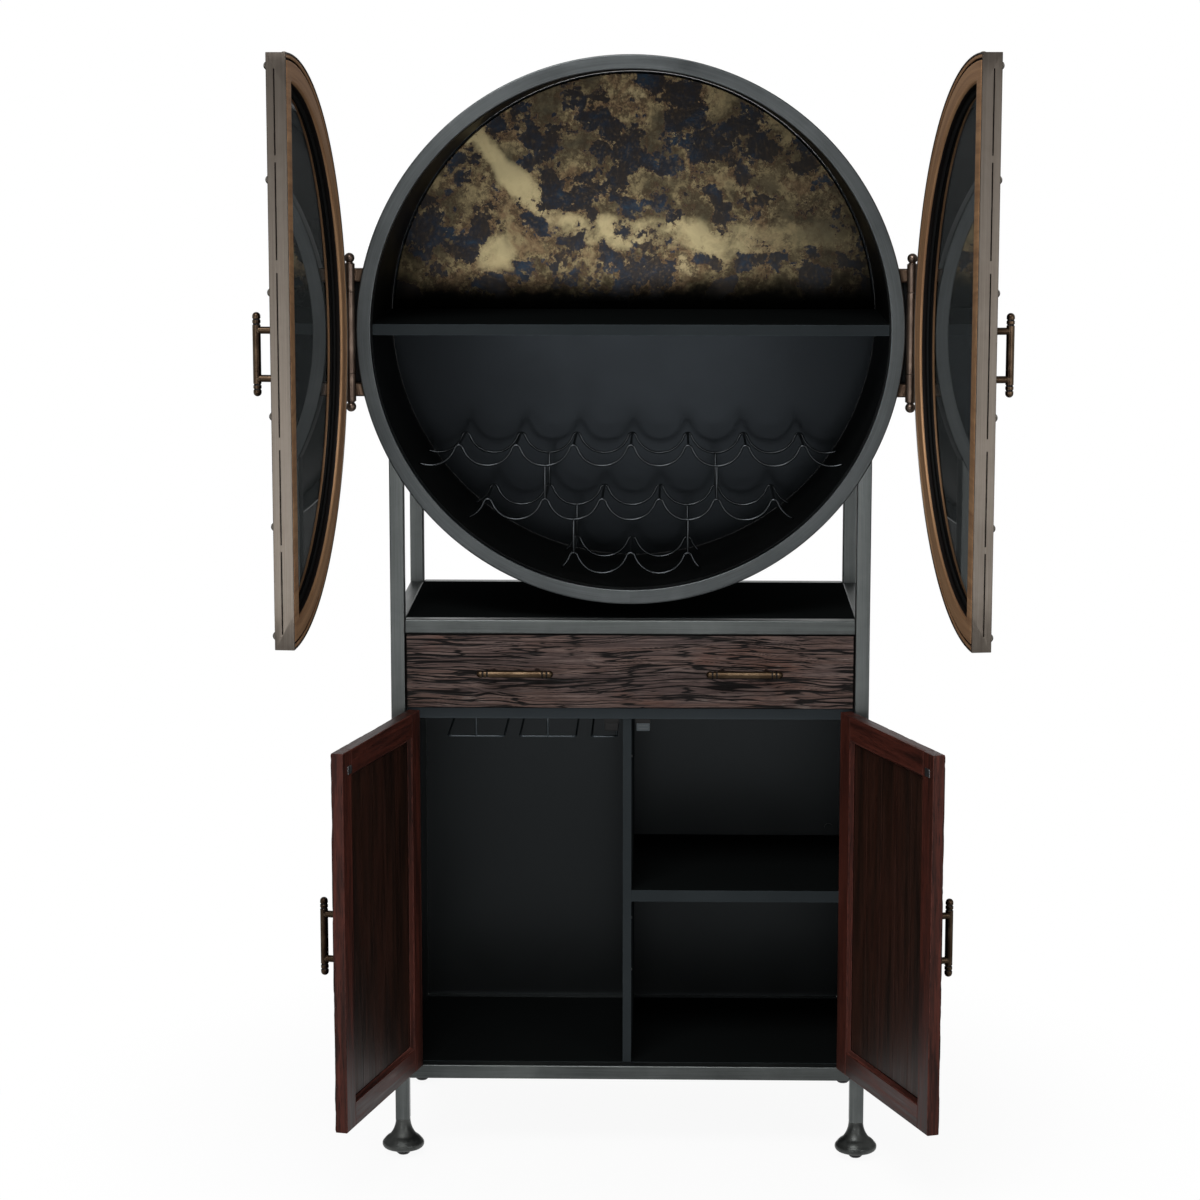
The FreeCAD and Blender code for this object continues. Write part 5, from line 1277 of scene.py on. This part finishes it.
# Drawer: carved front, plain box, runners and two handles
drawerLook = {"carve": 2.2, "step": 0.8, "seed": 5.0, "knot": (-0.245, 0.842, 0.011), "gripSpread": 398}
frontLow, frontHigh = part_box("drawer_front")
drawerCarve = drawerLook["carve"] * mm
drawerFace = weatheredWood("weathered drawer", "x", frontLow.y, drawerCarve, (0.14, 0.42))
mesh = bmesh.new()
addCarved(mesh, (frontLow.x, frontHigh.x), (frontLow.z, frontHigh.z), (frontLow.y, frontHigh.y), "x",
          drawerCarve, drawerLook["seed"], drawerLook["step"] * mm, knots=[drawerLook["knot"]])
makePiece("drawer_front", mesh, [drawerFace], "drawer")
dressNode("drawer_box", boxWood("drawer box wood", "y"), 0.8)
dressNode("drawer_bottom", boxWood("drawer bottom wood", "x"), 0.3)
dressNode("drawer_fixed_runners", zinc, 0.6)
dressNode("drawer_moving_runners", zinc, 0.6)
mesh = bmesh.new()
for side in (-1, 1):
    centre = (drawerLook["gripSpread"] / 2 * mm * side, frontLow.y - gripLook["reach"] * mm,
              (frontLow.z + frontHigh.z) / 2)
    addHandle(mesh, Matrix.Translation(centre) @ Matrix.Rotation(math.pi / 2, 4, "Y"))
makePiece("drawer_handles", mesh, [drawerBronze, groovePaint], "drawer")
print("drawer made")

# Studio: pale floor that fades into a white surround, soft lamps, camera. Places in metres.
studio = {"floor": 14.0, "surround": 0.42, "room": 0.24, "flag": 0.05, "floorSheen": 0.36, "floorShade": 0.9,
          "glowNear": 0.5, "glowFar": 1.2, "glowLeast": 0.93, "backdropEdge": (0.2, 0.27)}
white = (1, 1, 1, 1)


# The rays that mirror the studio, and the rays that look at it straight or through glass
def raySorts(tree):
    rays = outputs(makeNode(tree, "LightPath"))
    return rays["Is Glossy Ray"], maths("MAXIMUM", rays["Is Camera Ray"], rays["Is Transmission Ray"])


# Metal and glass see this floor white beside the backdrop, grey in front, and dark under the flags
floorMaterial, tree = newMaterial("studio floor", Base_Color=(studio["floorShade"],) * 3 + (1,),
                                  Roughness=0.9, Specular_IOR_Level=0.0)
glossy, direct = raySorts(tree)
x, y = axes(ownPlace(tree))[:2]
away = maths("SQRT", x ** 2.0 + y ** 2.0)
fade = spread(away, studio["glowNear"], studio["glowFar"], studio["glowLeast"], 1.0, smooth=True)
atSide = spread(abs(x), 0.55, 0.9, smooth=True)
inBack = spread(y, -0.9, 0.1, smooth=True)
mirrored = spread(inBack, 0, 1, studio["floorSheen"], spread(atSide, 0, 1, 1.0, studio["flag"]))
plain = signal(tree.nodes["Principled BSDF"].outputs[0])
dimmer, glow = [addNode(tree, "Emission", {"Color": white, "Strength": level}) for level in (mirrored, 1.0)]
mixed = addNode(tree, "MixShader", {0: glossy, 1: plain, 2: dimmer})
mixed = addNode(tree, "MixShader", {0: fade * direct, 1: mixed, 2: glow})
feed(tree.nodes["Material Output"], {"Surface": mixed})
floorMesh = bmesh.new()
corners = roundedBox((-studio["floor"],) * 2, (studio["floor"],) * 2)
addSkin(floorMesh, [[(x, y, z) for x, y in corners] for z in (-0.02, 0)])
floorPiece = addObject("studioFloor", meshData("studioFloor", floorMesh, [floorMaterial]))

# In reflections the white backdrop stands between two dark flags, and the rest of the room is grey
world = bpy.data.worlds.new("studio surround")
bpy.context.scene.world = world
world.use_nodes = True
tree = world.node_tree
glossy, direct = raySorts(tree)
x, y = axes(addNode(tree, "TexCoord", out="Generated"))[:2]
edgeNear, edgeFar = studio["backdropEdge"]
sideways = abs(x)
inBack = spread(y, 0.55, 0.7)
flags = inBack * spread(sideways, 0.6, 0.48, smooth=True)
room = spread(flags, 0, 1, studio["room"], studio["flag"])
mirrored = spread(inBack * spread(sideways, edgeFar, edgeNear), 0, 1, room, 1.0)
level = spread(glossy, 0, 1, studio["surround"], mirrored)
feed(tree.nodes["Background"], {"Color": white, "Strength": spread(direct, 0, 1, level, 1.0)})

# No lamp shows as a bright square in the panes
paneSet = bpy.data.collections.new("panes")
for sideName, side in sides:
    paneSet.objects.link(bpy.data.objects[f"upper{sideName.capitalize()}Glass"])
for member in paneSet.collection_objects:
    member.light_linking.link_state = "EXCLUDE"


def addLamp(name, spot, aim, width, height, watts):
    lamp = bpy.data.lights.new(name, "AREA")
    lamp.shape = "RECTANGLE"
    lamp.size, lamp.size_y = width, height
    lamp.energy = watts
    holder = addObject(name, lamp)
    holder.location = spot
    holder.rotation_euler = (Vector(aim) - Vector(spot)).to_track_quat("-Z", "Y").to_euler()
    holder.light_linking.receiver_collection = paneSet


addLamp("keyLamp", (-2.2, -4.9, 0.95), (0, 0, 1.1), 1.5, 1.6, 26)
addLamp("fillLamp", (2.8, -4.4, 1.8), (0, 0, 1.0), 1.6, 2.2, 40)
addLamp("highLamp", (-0.8, -3.8, 4.8), (0, 0, 1.1), 2.6, 1.6, 160)
addLamp("lowLamp", (0.0, -5.3, 0.95), (0, 0, 1.2), 1.1, 0.7, 16)

view = {"place": (0.07185, -5.70336, 1.89026), "pitch": 80.822, "turn": 1.293, "lens": 96.055}
camera = bpy.data.cameras.new("camera")
camera.lens = view["lens"]
camera.sensor_width = 36
camera.clip_end = 60
cameraPiece = addObject("camera", camera)
cameraPiece.location = view["place"]
cameraPiece.rotation_euler = (math.radians(view["pitch"]), 0, math.radians(view["turn"]))
bpy.context.scene.camera = cameraPiece
bpy.context.scene.view_settings.view_transform = "Standard"
print("studio made")

bpy.context.view_layer.update()
